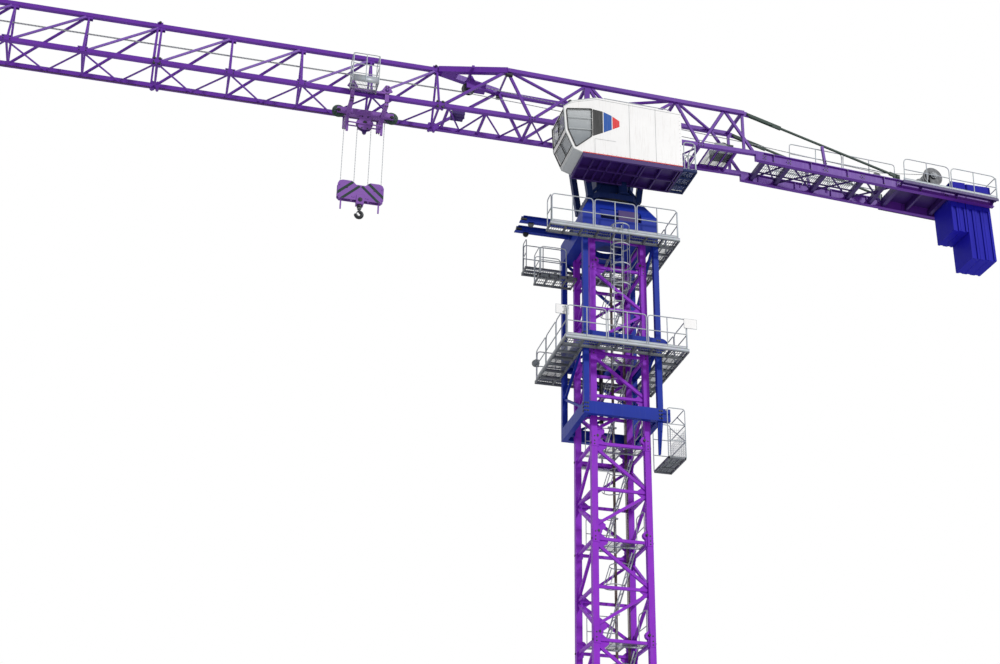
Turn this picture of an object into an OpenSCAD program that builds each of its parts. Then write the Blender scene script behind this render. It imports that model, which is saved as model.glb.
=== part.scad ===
// Flat-top tower crane with a climbing cage. Origin at the middle of the underside of the base,
// +Z up, the jib points towards -X and the cab hangs on the -Y side.

/* [Base and mast] */
// Distance between the centres of the mast posts
mast_w = 1800; // [1600:50:1900]
// Side of a mast post
post_w = 200; // [160:10:220]
// Height of one mast section
section_h = 3200; // [2900:50:3250]
// Number of mast sections
section_count = 9; // [6:1:9]
// Height of the short collar on top of the last section
collar_h = 900; // [600:50:1000]
// Height of the foot below the first section
foot_h = 600; // [500:50:700]
// Side of a square base plate
base_plate_w = 640; // [600:10:760]
// Thickness of a base plate
base_plate_t = 50; // [30:5:80]
// Distance between the anchor bolts of one base plate
anchor_pitch = 440; // [400:10:460]
// Diameter of an anchor bolt hole
anchor_hole_d = 52; // [30:2:60]
// Side of the mast bracing bars
brace_w = 90; // [60:5:110]

/* [Climbing cage] */
// Distance between the centres of the cage posts
cage_w = 2500; // [2440:20:2600]
// Side of a cage post
cage_post_w = 180; // [140:10:200]
// Length of the cage below the mast top
cage_h = 6700; // [6200:50:7000]
// Depth of the cage ring beams
ring_beam_h = 430; // [300:10:500]
// Height of the upper ring above the lower ring
ring_pitch = 2530; // [2200:10:2900]
// Running gap between a cage guide and the mast post
guide_gap = 6; // [5:1:12]
// Radius of the climbing cylinder
ram_r = 70; // [60:1:74]
// Radius of the climbing piston rod
rod_r = 42; // [30:1:46]
// Running gap between the piston rod and its cylinder
rod_gap = 3; // [2:0.5:5]
// Travel of the climbing cylinder
ram_stroke = 1600; // [1400:50:1650]
// Height of the hand rails
rail_h = 1100; // [900:50:1200]
// Width of the platforms
platform_w = 560; // [450:10:640]
// Thickness of the platform floors
floor_t = 30; // [20:5:40]
// How far the feed beams stand out of the cage
feed_reach = 1950; // [1600:50:2250]

/* [Slewing unit] */
// Height of the slewing support
support_h = 1450; // [1300:50:1600]
// Width of the slewing support
support_w = 2700; // [2680:20:2800]
// Height of the slewing ring
ring_h = 180; // [140:10:220]
// Outer radius of the slewing ring
ring_r = 900; // [800:20:940]
// Height of the turntable above the slewing ring
table_h = 2830; // [2700:10:2900]
// Gap between pieces that turn or slide on each other
joint_gap = 0.5; // [0.3:0.1:1]

/* [Jib] */
// Distance between the centres of the two lower chords
gauge = 1450; // [1400:10:1500]
// Height of the jib truss between chord centres
jib_h = 1960; // [1800:20:2050]
// Side of a chord
chord_w = 150; // [140:5:160]
// Length of one jib panel
panel = 2430; // [2300:10:2450]
// Number of jib panels
panel_count = 7; // [5:1:7]
// Place of the first jib node from the mast axis
jib_root = 6280; // [6200:10:6400]
// Side of the jib bracing bars
web_w = 70; // [50:5:80]
// How far the bracing lies inside the chord centres, so that the wheels pass it
web_inset = 30; // [25:5:35]

/* [Head and counter-jib] */
// Place of the counter-jib joint from the mast axis
head_end = 5400; // [5300:10:5500]
// Height of the head truss where its two top chords start
head_h = 1900; // [1800:10:1950]
// How much lower the head truss is at its counter-jib end
head_drop = 230; // [150:10:280]
// Length of the counter-jib beams
counter_len = 9500; // [9300:20:9600]
// Depth of the counter-jib beams
counter_beam_h = 375; // [300:5:400]
// Downward slope of the counter-jib, degrees
droop = 3; // [2:0.5:4]
// Radius of the pins that hold the counter-jib ties
tie_pin_r = 28; // [20:1:34]
// Height of the long counterweight slabs
slab_long = 3050; // [2500:50:3200]
// Height of the short counterweight slabs
slab_short = 2000; // [1500:50:2100]

/* [Cab] */
// Length of the cab house
cab_len = 4300; // [4200:20:4400]
// Width of the cab house
cab_w = 1500; // [1400:20:1600]
// Height of the cab house
cab_h = 2300; // [2200:20:2350]
// Thickness of the cab walls
cab_wall = 60; // [40:5:80]
// Depth of the ribs under the cab floor
cab_rib_h = 160; // [120:10:180]

/* [Trolley and hook] */
// Distance of the trolley from the mast axis
trolley_r = 8800; // [8000:50:9500]
// Radius of the trolley wheels
wheel_r = 110; // [90:5:120]
// Width of a trolley wheel tread
wheel_t = 50; // [40:5:55]
// Distance from the trolley centre to each end sheave
sheave_x = 930; // [880:10:1000]
// Radius of the end sheaves
sheave_r = 230; // [180:10:240]
// Distance from the trolley centre to each outer rope fall
fall_x = 700; // [660:10:760]
// Distance from the trolley centre to each inner rope fall
fall_in = 240; // [200:10:260]
// Radius of the hoist rope
rope_r = 11; // [8:1:14]
// Height of the hook block's top below the bottom chords
hook_drop = 3140; // [2900:20:3400]
// Width of the hook block along the jib
block_w = 1580; // [1500:20:1640]
// Height of the hook block plates
block_h = 860; // [760:20:900]

/* [Hidden] */

mast_top = foot_h + section_count * section_h + collar_h;
support_top = mast_top + support_h;
ring_top = support_top + ring_h;
table_top = ring_top + table_h;
jib_z = table_top + chord_w / 2;
half = mast_w / 2;
seat_gap = 0.3;
base_beam = 260;
cage_top = mast_top + joint_gap;
cage_half = cage_w / 2;
cage_bottom = mast_top - cage_h;
ring_low = cage_bottom + ring_beam_h / 2;
ring_high = ring_low + ring_pitch;
cage_outer = cage_half + cage_post_w / 2;
side = gauge / 2;
tip_x = jib_root + panel_count * panel;
upper_floor = mast_top - 200;
lower_floor = ring_high - ring_beam_h / 2 - 160;
floor_outer = cage_outer + 20 + platform_w;
floor_deep = 100;
upper_left = floor_outer + 720;
lower_left = floor_outer + 200;
lower_right = floor_outer + 180;
feed_end = -support_w / 2 - feed_reach;
head_top_start = 3900;
winch_x = 4400;
head_top_end = 5050;
cab_front = 2350;
cab_in = side + chord_w / 2 + 80;
cab_z = jib_z - 2135;
beam_top = chord_w / 2;
walk_y = side + 325;
walk_z = beam_top - 150;
pulley_x = 5170;
blue = [0.17, 0.22, 0.66];
violet = [0.53, 0.18, 0.78];
purple = [0.42, 0.2, 0.6];
grey = [0.66, 0.67, 0.68];

// square or flat bar from a to b: w across, h upright
module bar(a, b, w, h = 0) {
    d = b - a;
    len = norm(d);
    up = h == 0 ? w : h;
    translate(a) rotate([0, acos(d[2] / len), atan2(d[1], d[0])])
        translate([-up / 2, -w / 2, 0]) cube([up, w, len]);
}

module block(low, high) {
    translate(low) cube(high - low);
}

// one panel of hand rail from a to b: posts, top rail, knee rail and toe rail
module rail_panel(a, b, h, posts) {
    w = 40;
    step = (b - a) / (posts - 1);
    for (i = [0:posts - 1]) {
        p = a + i * step;
        translate([p[0] - w / 2, p[1] - w / 2, p[2]]) cube([w, w, h]);
    }
    bar(a + [0, 0, h - w / 2], b + [0, 0, h - w / 2], w);
    bar(a + [0, 0, h / 2], b + [0, 0, h / 2], w * 0.75);
    bar(a + [0, 0, w], b + [0, 0, w], w * 0.5, w * 2);
}

// the six bars of one mast side, seen square on with x along the side
module side_web(flip) {
    in = half - post_w / 2;
    top_bar = 240;
    mid_bar = 1780;
    for (k = [0:section_count - 1]) {
        z = foot_h + k * section_h;
        high = z + section_h - top_bar;
        mid = z + section_h - mid_bar;
        bar([-half, 0, high], [half, 0, high], brace_w);
        bar([-half, 0, mid], [half, 0, mid], brace_w);
        bar([-flip * half, 0, high - 120], [flip * half, 0, mid + 60], brace_w);
        bar([flip * half, 0, mid - 60], [-flip * half, 0, z + 190], brace_w);
        gusset(flip, z, high, mid, in);
    }
    bar([-half, 0, mast_top - brace_w / 2], [half, 0, mast_top - brace_w / 2], brace_w);
}

// the welded corner plates where the diagonals meet the posts
module gusset(flip, z, high, mid, in) {
    t = 24;
    arm = 330;
    for (g = [[-flip, high - 60, 1], [flip, mid, 0.8], [-flip, z + 190, 0.8]])
        translate([g[0] * in, t / 2, g[1]]) rotate([90, 0, 0]) scale([1, 1, 1])
            linear_extrude(t) polygon([[0, -arm * g[2]], [0, arm * g[2]],
                [-g[0] * arm * g[2], 60], [-g[0] * arm * g[2], -60]]);
}

// keeps a mast side between the inner faces of its posts
module between_posts() {
    in = half - post_w / 2;
    intersection() {
        children();
        translate([-in, -brace_w, foot_h]) cube([2 * in, 2 * brace_w, mast_top - foot_h]);
    }
}

// two posts with their pinned joints, with the web between them, on the side y = 0
module posted_side(flip) {
    for (s = [-1, 1]) {
        translate([s * half - post_w / 2, -post_w / 2, foot_h])
            cube([post_w, post_w, mast_top - foot_h]);
        for (k = [1:section_count]) post_joint(s, foot_h + k * section_h);
        post_joint(s, foot_h + 380);
    }
    side_web(flip);
}

// the round lug and the plate of a pinned joint on the inner face of one post
module post_joint(s, z) {
    in = half - post_w / 2;
    reach = 40;
    t = 150;
    translate([s * in, t / 2, z]) rotate([90, 0, 0]) cylinder(h = t, r = 130, $fn = 32);
    block([s > 0 ? in - reach : -half, -t / 2, z - 370], [s > 0 ? half : reach - in, t / 2, z]);
}

module base_frame() {
    beam = base_beam;
    color(violet) difference() {
        union() {
            for (x = [-half, half], y = [-half, half]) {
                translate([x - base_plate_w / 2, y - base_plate_w / 2, 0])
                    cube([base_plate_w, base_plate_w, base_plate_t]);
                translate([x - post_w / 2, y - post_w / 2, 0]) cube([post_w, post_w, foot_h]);
                bar([x, y, base_plate_t + 60], [x * 1.24, y * 1.24, base_plate_t + 60], 30, 220);
                bar([x, y, base_plate_t + 60], [x * 1.24, y * 0.76, base_plate_t + 60], 30, 220);
                bar([x, y, base_plate_t + 60], [x * 0.76, y * 1.24, base_plate_t + 60], 30, 220);
            }
            for (s = [-1, 1]) bar([-half, -s * half, beam / 2], [half, s * half, beam / 2], beam);
            for (s = [-half, half]) {
                bar([-half, s, 400], [half, s, 400], brace_w * 1.4);
                bar([s, -half, 400], [s, half, 400], brace_w * 1.4);
            }
        }
        for (x = [-half, half], y = [-half, half], i = [-0.5, 0.5], j = [-0.5, 0.5])
            translate([x + i * anchor_pitch, y + j * anchor_pitch, -1])
                cylinder(h = base_plate_t + 2, d = anchor_hole_d, $fn = 32);
        translate([-2 * half, -2 * half, -400]) cube([4 * half, 4 * half, 400]);
    }
}

module mast_near_side() {
    color(violet) translate([0, -half, 0]) posted_side(1);
}

module mast_far_side() {
    color(violet) translate([0, half, 0]) posted_side(-1);
}

module mast_left_side() {
    color(violet) translate([-half, 0, 0]) rotate([0, 0, 90]) between_posts() side_web(1);
}

module mast_right_side() {
    color(violet) translate([half, 0, 0]) rotate([0, 0, 90]) between_posts() side_web(-1);
}

// top of the side bars that carry landing k
function landing_z(k) = foot_h + k * section_h - 240 + brace_w / 2;

// a landing in each section with a way through it, and a leaning ladder from each landing to the next
module mast_ladders() {
    in = half - 20;
    free = half - post_w / 2 - 10;
    plate = 30;
    for (k = [1:section_count]) color(grey) translate([0, 0, landing_z(k)]) {
        block([-in, -free, 0], [in, -100, plate]);
        block([-in, -100, 0], [280, 480, plate]);
        block([-free + 100, -in, 0], [free - 100, -free, plate]);
    }
    for (k = [0:section_count]) color(grey) leaning_ladder(k == 0 ? base_beam : landing_z(k) + plate,
        k == section_count ? mast_top - 60 : landing_z(k + 1) + plate);
}

module leaning_ladder(low, high) {
    foot_x = -250;
    lean = 1000 / section_h;
    mid_y = 180;
    reach = 200;
    pitch = 290;
    end_x = foot_x + lean * (high + 200 - low);
    for (y = [-reach, reach]) intersection() {
        bar([foot_x - 200 * lean, mid_y + y, low - 200], [end_x, mid_y + y, high + 200], 30, 70);
        block([-half, -half, low + joint_gap], [half, half, high]);
    }
    for (i = [1:floor((high - low - 60) / pitch)])
        translate([foot_x + lean * i * pitch, mid_y - reach, low + i * pitch])
            rotate([-90, 0, 0]) cylinder(h = 2 * reach, r = 15, $fn = 6);
}

// the supply cable, clipped in its duct down the inside of the far side
module power_cable() {
    face = half - brace_w / 2;
    color([0.3, 0.2, 0.16]) block([290, face - 50, foot_h + 60], [370, face, mast_top - 10]);
}

ram_y = (cage_half - cage_post_w / 2 + half + post_w / 2) / 2;
ram_low = ring_low + 500;

// the piston rod stands on a crossbeam that the mast posts carry
module climb_rod() {
    foot = cage_bottom - 1000;
    face = half + post_w / 2;
    color([0.75, 0.76, 0.78]) translate([0, ram_y, foot + 140]) cylinder(h = ram_low + ram_stroke + 340 - foot - 140, r = rod_r, $fn = 32);
    color([0.16, 0.17, 0.2]) {
        block([-half - 60, face, foot], [half + 60, face + 110, foot + 140]);
        for (x = [-1, 1]) block([x * half - 60, face, foot - 160], [x * half + 60, face + 70, foot]);
    }
}

// the barrel hangs from the upper ring of the cage
module climb_cylinder() {
    in = cage_half - cage_post_w / 2;
    top = ring_high + ring_beam_h / 2 - 40;
    color([0.16, 0.17, 0.2]) {
        difference() {
            translate([0, ram_y, ram_low]) cylinder(h = top - ram_low, r = ram_r, $fn = 48);
            translate([0, ram_y, ram_low - 1]) cylinder(h = ram_stroke + 400, r = rod_r + rod_gap, $fn = 48);
        }
        difference() {
            block([-180, ram_y, ring_high - 60], [180, in, ring_high + 60]);
            translate([0, ram_y, ring_high - 61]) cylinder(h = 122, r = ram_r - 5, $fn = 48);
        }
    }
}

module cage_posts() {
    for (s = [-1, 1])
        translate([s * cage_half - cage_post_w / 2, -cage_post_w / 2, cage_bottom])
            cube([cage_post_w, cage_post_w, cage_top - cage_bottom]);
}

// bracing bars of one cage side between its two rings
module cage_braces(low, high) {
    in = cage_half - cage_post_w / 2;
    mid = (low + high) / 2;
    bar([-in, 0, low], [in, 0, mid], 80);
    bar([in, 0, mid], [-in, 0, high], 80);
}

module cage_near_frame() {
    over = 240;
    round_r = ring_beam_h / 2;
    tail = 1150;
    color(blue) translate([0, -cage_half, 0]) {
        cage_posts();
        block([-cage_outer, -cage_post_w / 2, ring_low - ring_beam_h / 2],
            [cage_outer + over, cage_post_w / 2, ring_low + ring_beam_h / 2]);
        block([-cage_outer, -cage_post_w / 2, ring_high - ring_beam_h / 2],
            [cage_outer + over - round_r, cage_post_w / 2, ring_high + ring_beam_h / 2]);
        translate([cage_outer + over - round_r, cage_post_w / 2, ring_high]) rotate([90, 0, 0])
            cylinder(h = cage_post_w, r = round_r, $fn = 48);
        translate([cage_outer - 60, 40, cage_bottom]) rotate([90, 0, 0])
            linear_extrude(80) polygon([[-110, 0], [60, 0], [-40, -tail], [-110, -tail]]);
    }
}

module cage_far_frame() {
    in = cage_half - cage_post_w / 2;
    color(blue) translate([0, cage_half, 0]) {
        cage_posts();
        for (z = [ring_low, ring_high])
            block([-cage_outer, -cage_post_w / 2, z - ring_beam_h / 2],
                [cage_outer, cage_post_w / 2, z + ring_beam_h / 2]);
        intersection() {
            union() {
                cage_braces(ring_low, ring_high);
                cage_braces(ring_high, mast_top);
            }
            block([-in, -100, cage_bottom], [in, 100, mast_top]);
        }
    }
}

// the side under the jib stays open above the upper ring, so that a mast section can come in
module cage_left_frame() {
    in = cage_half - cage_post_w / 2;
    color(blue) translate([-cage_half, 0, 0]) rotate([0, 0, 90]) {
        for (z = [ring_low, ring_high])
            block([-in, -cage_post_w / 2, z - ring_beam_h / 2], [in, cage_post_w / 2, z + ring_beam_h / 2]);
        intersection() {
            cage_braces(ring_low, ring_high);
            block([-in, -100, cage_bottom], [in, 100, mast_top]);
        }
    }
}

module cage_right_frame() {
    in = cage_half - cage_post_w / 2;
    color(blue) translate([cage_half, 0, 0]) rotate([0, 0, 90]) {
        for (z = [ring_low, ring_high])
            block([-in, -cage_post_w / 2, z - ring_beam_h / 2], [in, cage_post_w / 2, z + ring_beam_h / 2]);
        intersection() {
            union() {
                cage_braces(ring_low, ring_high);
                cage_braces(ring_high, mast_top);
            }
            block([-in, -100, cage_bottom], [in, 100, mast_top]);
        }
    }
}

// guide shoes on both rings, two at each corner, that run on the outer faces of the mast posts
module cage_guides() {
    shoe = 150;
    face = half + post_w / 2 + guide_gap;
    in = cage_half - cage_post_w / 2;
    color(blue) for (z = [ring_low, ring_high], x = [-1, 1], y = [-1, 1]) {
        block([x > 0 ? half - 70 : -half - 70, min(y * face, y * in), z - shoe],
            [x > 0 ? half + 70 : -half + 70, max(y * face, y * in), z + shoe]);
        block([min(x * face, x * in), y > 0 ? half - 70 : -half - 70, z - shoe],
            [max(x * face, x * in), y > 0 ? half + 70 : -half + 70, z + shoe]);
    }
}

// a floor plate on edge channels with bearers across them; it runs along x when along is 0, along y when 1
module floor_strip(low, high, level, along) {
    lip = 40;
    across = 1 - along;
    under = level - floor_deep;
    run = high[along] - low[along] - lip;
    count = ceil(run / 620);
    block([low[0], low[1], level - floor_t], [high[0], high[1], level]);
    for (e = [low[across], high[across] - lip])
        block(along == 0 ? [low[0], e, under] : [e, low[1], under],
            along == 0 ? [high[0], e + lip, level] : [e + lip, high[1], level]);
    for (i = [0:count]) {
        p = low[along] + i * run / count;
        block(along == 0 ? [p, low[1], under] : [low[0], p, under],
            along == 0 ? [p + lip, high[1], level] : [high[0], p + lip, level]);
    }
}

// the floor strips round the cage and the brackets that hold them to its posts
module platform_ring(level, left_out, right_out, open_left) {
    in = cage_outer + 20;
    under = level - floor_deep;
    deep = 100;
    floor_strip([-left_out, -floor_outer], [right_out, -in], level, 0);
    floor_strip([-left_out, in], [right_out, floor_outer], level, 0);
    floor_strip([in, -in], [right_out, in], level, 1);
    if (!open_left) floor_strip([-left_out, -in], [-in, in], level, 1);
    for (x = [-cage_half, cage_half], y = [-1, 1]) {
        block([x - 40, min(y * cage_outer, y * (floor_outer - 60)), under - deep],
            [x + 40, max(y * cage_outer, y * (floor_outer - 60)), under]);
    }
    for (y = [-cage_half, cage_half]) {
        block([cage_outer, y - 40, under - deep], [right_out - 60, y + 40, under]);
        if (!open_left) block([-left_out + 60, y - 40, under - deep], [-cage_outer, y + 40, under]);
    }
}

module upper_platform() {
    hatch = [-420, 300];
    color(grey) difference() {
        platform_ring(upper_floor, upper_left, floor_outer, true);
        block([hatch[0], -floor_outer + 40, upper_floor - floor_deep - 1], [hatch[1], -cage_outer - 60, upper_floor + 1]);
    }
}

module lower_platform() {
    color(grey) platform_ring(lower_floor, lower_left, lower_right, false);
}

module rails_on(level, left_out, right_out, open_left) {
    o = floor_outer - 40;
    l = left_out - 40;
    r = right_out - 40;
    in = cage_outer + 60;
    gap = 60;
    color(grey) {
        rail_panel([-l, -o, level], [r, -o, level], rail_h, 6);
        rail_panel([-l, o, level], [r, o, level], rail_h, 6);
        rail_panel([r, -o + gap, level], [r, o - gap, level], rail_h, 5);
        if (open_left) for (s = [-1, 1])
            rail_panel([-l, s * (o - gap), level], [-l, s * in, level], rail_h, 2);
        if (!open_left) rail_panel([-l, -o + gap, level], [-l, o - gap, level], rail_h, 5);
    }
}

module upper_rails() {
    rails_on(upper_floor, upper_left, floor_outer, true);
}

module lower_rails() {
    rails_on(lower_floor, lower_left, lower_right, false);
}

// the small landing on the open side of the cage: its sill lies between the two cage sides
module side_landing(z0, t) {
    in = cage_half - cage_post_w / 2;
    out = 2600;
    last = -1640;
    deep = 80;
    block([-cage_outer + 40, -in, z0], [-in - 40, in, z0 + deep]);
    for (y = [-400, 300]) block([-out, y, z0], [-cage_outer + 40, y + 100, z0 + deep]);
    block([-out, -400, z0 + deep], [-cage_outer + 100, 400, z0 + deep + floor_t]);
    for (y = [-400, 400 - t]) {
        for (x = [-out, last]) block([x, y, z0 + deep], [x + t, y + t, z0 + 1150]);
        for (z = [600, 1110]) block([-out, y, z0 + z], [last + t, y + t, z0 + z + t]);
    }
    for (z = [600, 1110]) block([-out, -400, z0 + z], [-out + t, 400, z0 + z + t]);
}

// the upright ladder between the two platforms, with its hoops on the outside
module caged_ladder(low, high) {
    mid_x = -160;
    y = -cage_outer - 120;
    wide = 300;
    pitch = 290;
    hoop_r = 330;
    first_hoop = 2100;
    hoop_pitch = 750;
    top = high + 500;
    z0 = low + joint_gap;
    for (x = [mid_x - wide / 2, mid_x + wide / 2]) block([x - 20, y - 20, z0], [x + 20, y + 20, top]);
    for (i = [1:floor((top - low - 100) / pitch)])
        translate([mid_x - wide / 2, y, low + i * pitch]) rotate([0, 90, 0]) cylinder(h = wide, r = 14, $fn = 6);
    for (z = [low + first_hoop:hoop_pitch:high - 300]) translate([mid_x, y, z]) difference() {
        translate([0, -hoop_r + 40, 0]) cylinder(h = 40, r = hoop_r, $fn = 32);
        translate([0, -hoop_r + 40, -1]) cylinder(h = 42, r = hoop_r - 25, $fn = 32);
        block([-hoop_r, 20, -1], [hoop_r, hoop_r, 41]);
    }
}

// a caged access landing hung on the lower ring, and a small one on the open side of the cage
module access_baskets() {
    deep = 1450;
    w = 640;
    tall = 1750;
    t = 40;
    x0 = cage_outer;
    y0 = -deep - 100;
    top = cage_bottom + ring_beam_h;
    low = top - tall;
    color(grey) {
        block([x0 + t, y0, low], [x0 + t + w, y0 + deep, low + 50]);
        for (x = [x0 + t, x0 + w], y = [y0, y0 + deep - t]) block([x, y, low], [x + t, y + t, top]);
        for (z = [low + tall / 3, low + tall * 2 / 3, top - t]) {
            block([x0 + t, y0, z], [x0 + t + w, y0 + t, z + t]);
            block([x0 + t, y0 + deep - t, z], [x0 + t + w, y0 + deep, z + t]);
            block([x0 + w, y0, z], [x0 + t + w, y0 + deep, z + t]);
        }
        for (y = [y0, y0 + deep - t]) block([x0, y, top - 200], [x0 + 2 * t, y + t, top]);
        side_landing(mast_top - 1450, t);
        caged_ladder(lower_floor, upper_floor);
    }
}

module feed_beams() {
    h = 220;
    w = 180;
    t = 16;
    y0 = 350;
    z0 = mast_top + 560;
    color(blue) for (s = [-1, 1]) translate([0, s * y0, z0]) {
        block([feed_end, -w / 2, 0], [-support_w / 2, w / 2, t]);
        block([feed_end + 120, -w / 2, h - t], [-support_w / 2, w / 2, h]);
        block([feed_end + 60, -t / 2, 0], [-support_w / 2, t / 2, h]);
    }
}

// switch boxes and a lamp on the lower hand rail
module rail_boxes() {
    o = lower_right - 20;
    l = lower_left - 40;
    top = lower_floor + rail_h;
    color(grey) {
        block([o, -floor_outer + 60, top - 300], [o + 180, -floor_outer + 340, top + 40]);
        block([-l - 200, -floor_outer + 60, top - 260], [-l - 20, -floor_outer + 340, top + 60]);
        translate([-l - 15, floor_outer - 300, top - rail_h / 2]) rotate([0, -90, 0])
            cylinder(h = 160, r1 = 60, r2 = 130, $fn = 24);
    }
}

// profile of the slewing support seen from one side
function support_outline() = [[-support_w / 2, 0], [support_w / 2, 0], [support_w / 2, support_h * 0.55],
    [ring_r + 100, support_h], [-ring_r - 100, support_h], [-support_w / 2, support_h * 0.55]];

module slewing_support() {
    wall = 120;
    inner = support_w / 2 - wall;
    color(blue) translate([0, 0, mast_top + joint_gap]) difference() {
        intersection() {
            translate([0, support_w / 2, 0]) rotate([90, 0, 0]) linear_extrude(support_w) polygon(support_outline());
            rotate([0, 0, 90]) translate([0, support_w / 2, 0]) rotate([90, 0, 0])
                linear_extrude(support_w) polygon(support_outline());
        }
        translate([0, 0, -1]) cylinder(h = support_h + 2, r = 520, $fn = 48);
        block([-inner, -inner, 260], [inner, inner, support_h * 0.55]);
        block([-700, -support_w, 560], [760, -inner + 10, support_h * 0.55 + 200]);
        block([-700, inner - 10, 400], [760, support_w, support_h * 0.55]);
        block([-support_w, -240, 400], [-inner + 10, 240, support_h * 0.55]);
        block([inner - 10, -400, 400], [support_w, 400, support_h * 0.55]);
    }
}

module slewing_ring() {
    z0 = support_top + 2 * joint_gap;
    color([0.2, 0.22, 0.26]) difference() {
        union() {
            translate([0, 0, z0]) cylinder(h = ring_top - z0, r = ring_r, $fn = 96);
            translate([0, 0, ring_top - 40]) cylinder(h = 40, r = ring_r + 60, $fn = 96);
        }
        translate([0, 0, z0 - 1]) cylinder(h = ring_h + 2, r = ring_r - 240, $fn = 96);
    }
}

// places of the turntable legs at the ring and under the chords, and the outer face of the legs
table_foot_x = 860;
table_head_x = 1250;
leg_w = 200;
leg_face = side - 40 + leg_w / 2;

module turntable() {
    foot = ring_r + 40;
    leg = leg_w;
    top_x = table_head_x;
    low_x = table_foot_x;
    color([0.13, 0.17, 0.42]) {
        difference() {
            translate([-foot, -foot, ring_top]) cube([2 * foot, 2 * foot, 220]);
            translate([0, 0, ring_top - 1]) cylinder(h = 222, r = 520, $fn = 48);
            for (a = [45:90:315]) rotate([0, 0, a]) translate([foot + 160, -foot, ring_top - 1])
                cube([foot, 2 * foot, 222]);
        }
        intersection() {
            union() {
                for (x = [-1, 1], y = [-1, 1])
                    bar([x * low_x, y * (side - 40), ring_top], [x * top_x, y * (side - 40), table_top + 60], leg);
                for (y = [-1, 1]) {
                    bar([-low_x, y * (side - 40), ring_top + 200], [top_x, y * (side - 40), table_top], 90);
                    bar([low_x, y * (side - 40), ring_top + 200], [-top_x, y * (side - 40), table_top], 90);
                }
            }
            block([-2 * foot, -2 * foot, ring_top + 100], [2 * foot, 2 * foot, table_top]);
        }
        block([-top_x - 160, -side - 60, table_top - 160], [top_x + 160, -side + 100, table_top]);
        block([-top_x - 160, side - 100, table_top - 160], [top_x + 160, side + 60, table_top]);
        for (x = [-top_x - 160, top_x]) block([x, -side, table_top - 160], [x + 160, side, table_top]);
        block([-620, -side + 80, ring_top + 200], [620, side - 80, ring_top + 1250]);
    }
}

function head_z(x) = jib_z + head_h - head_drop * (x + head_top_start) / (head_top_end + head_top_start);

// places of the head truss joints, low ones and high ones
head_low = [-jib_root, -3000, 150, 3300, head_end];
head_high = [-head_top_start, -950, 2400, 4300];
tie_x = head_top_end + 150;
tie_r = 32;
tie_z = head_z(head_top_end) - 50;

// one side of the head truss in its own plane; inwards says which way the middle of the crane lies
module head_side(inwards) {
    web = 90;
    y = inwards * web_inset;
    end_z = head_z(head_top_end);
    cut_z = jib_z + head_h - chord_w;
    intersection() {
        union() {
            for (i = [0:3]) {
                bar([head_low[i], y, jib_z], [head_high[i], y, head_z(head_high[i])], web);
                bar([head_high[i], y, head_z(head_high[i])], [head_low[i + 1], y, jib_z], web);
            }
            bar([head_high[1], y, jib_z], [head_high[1], y, head_z(head_high[1])], 90, 190);
            bar([head_high[1] + 100, y, head_z(head_high[1] + 100)], [head_low[2], y, jib_z + 700], web);
            bar([head_top_end - 60, y, jib_z], [head_top_end - 60, y, end_z], web);
            bar([-head_top_start - 200, 0, head_z(-head_top_start - 200)],
                [head_top_end, 0, end_z], chord_w);
        }
        union() {
            block([-head_top_start, -200, jib_z], [head_end, 200, jib_z + 2 * head_h]);
            block([-jib_root, -200, jib_z], [head_end, 200, cut_z]);
        }
    }
    block([-jib_root, -chord_w / 2, jib_z - chord_w / 2], [head_end, chord_w / 2, jib_z + chord_w / 2]);
    tie_lug();
}

module head_near_side() {
    color(purple) translate([0, -side, 0]) head_side(1);
}

module head_far_side() {
    color(purple) translate([0, side, 0]) head_side(-1);
}

// the plate on the end of a top chord that takes the counter-jib tie
module tie_lug() {
    t = 40;
    translate([0, t / 2, 0]) rotate([90, 0, 0]) linear_extrude(t) difference() {
        translate([head_top_end - 20, head_z(head_top_end)])
            polygon([[0, -120], [190, -150], [250, -60], [140, 60], [0, 80]]);
        translate([tie_x, tie_z]) circle(r = tie_pin_r + seat_gap, $fn = 32);
    }
}

module head_top_bracing() {
    in = side - chord_w / 2;
    bays = [-head_top_start, -950, 2400, 4300];
    color(purple) intersection() {
        union() {
            for (x = concat(bays, [head_top_end - 80])) bar([x, -side, head_z(x)], [x, side, head_z(x)], 100);
            for (i = [0:2]) bar([bays[i], (i % 2 == 0 ? -side : side), head_z(bays[i])],
                [bays[i + 1], (i % 2 == 0 ? side : -side), head_z(bays[i + 1])], 80);
        }
        block([-head_top_start, -in, jib_z], [head_top_end, in, jib_z + 2 * head_h]);
    }
}

// floor bars with bracing between the bottom chords of the head truss, and the plate under the trolley winch
module head_walkway() {
    in = side - chord_w / 2;
    bays = [-jib_root + 300, -4650, -3000, -1450, 150, 1700, 3300, head_end - 700];
    color(purple) intersection() {
        union() {
            for (x = bays) block([x - 45, -side, jib_z - 45], [x + 45, side, jib_z + 45]);
            for (i = [0:5]) {
                mid = (bays[i] + bays[i + 1]) / 2;
                bar([bays[i], -side, jib_z], [mid, side, jib_z], 50);
                bar([mid, side, jib_z], [bays[i + 1], -side, jib_z], 50);
            }
            block([winch_x - 700, -side, jib_z + 45], [winch_x + 400, side, jib_z + 85]);
        }
        block([-jib_root, -in, jib_z - 100], [head_end, in, jib_z + 100]);
    }
}

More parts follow.
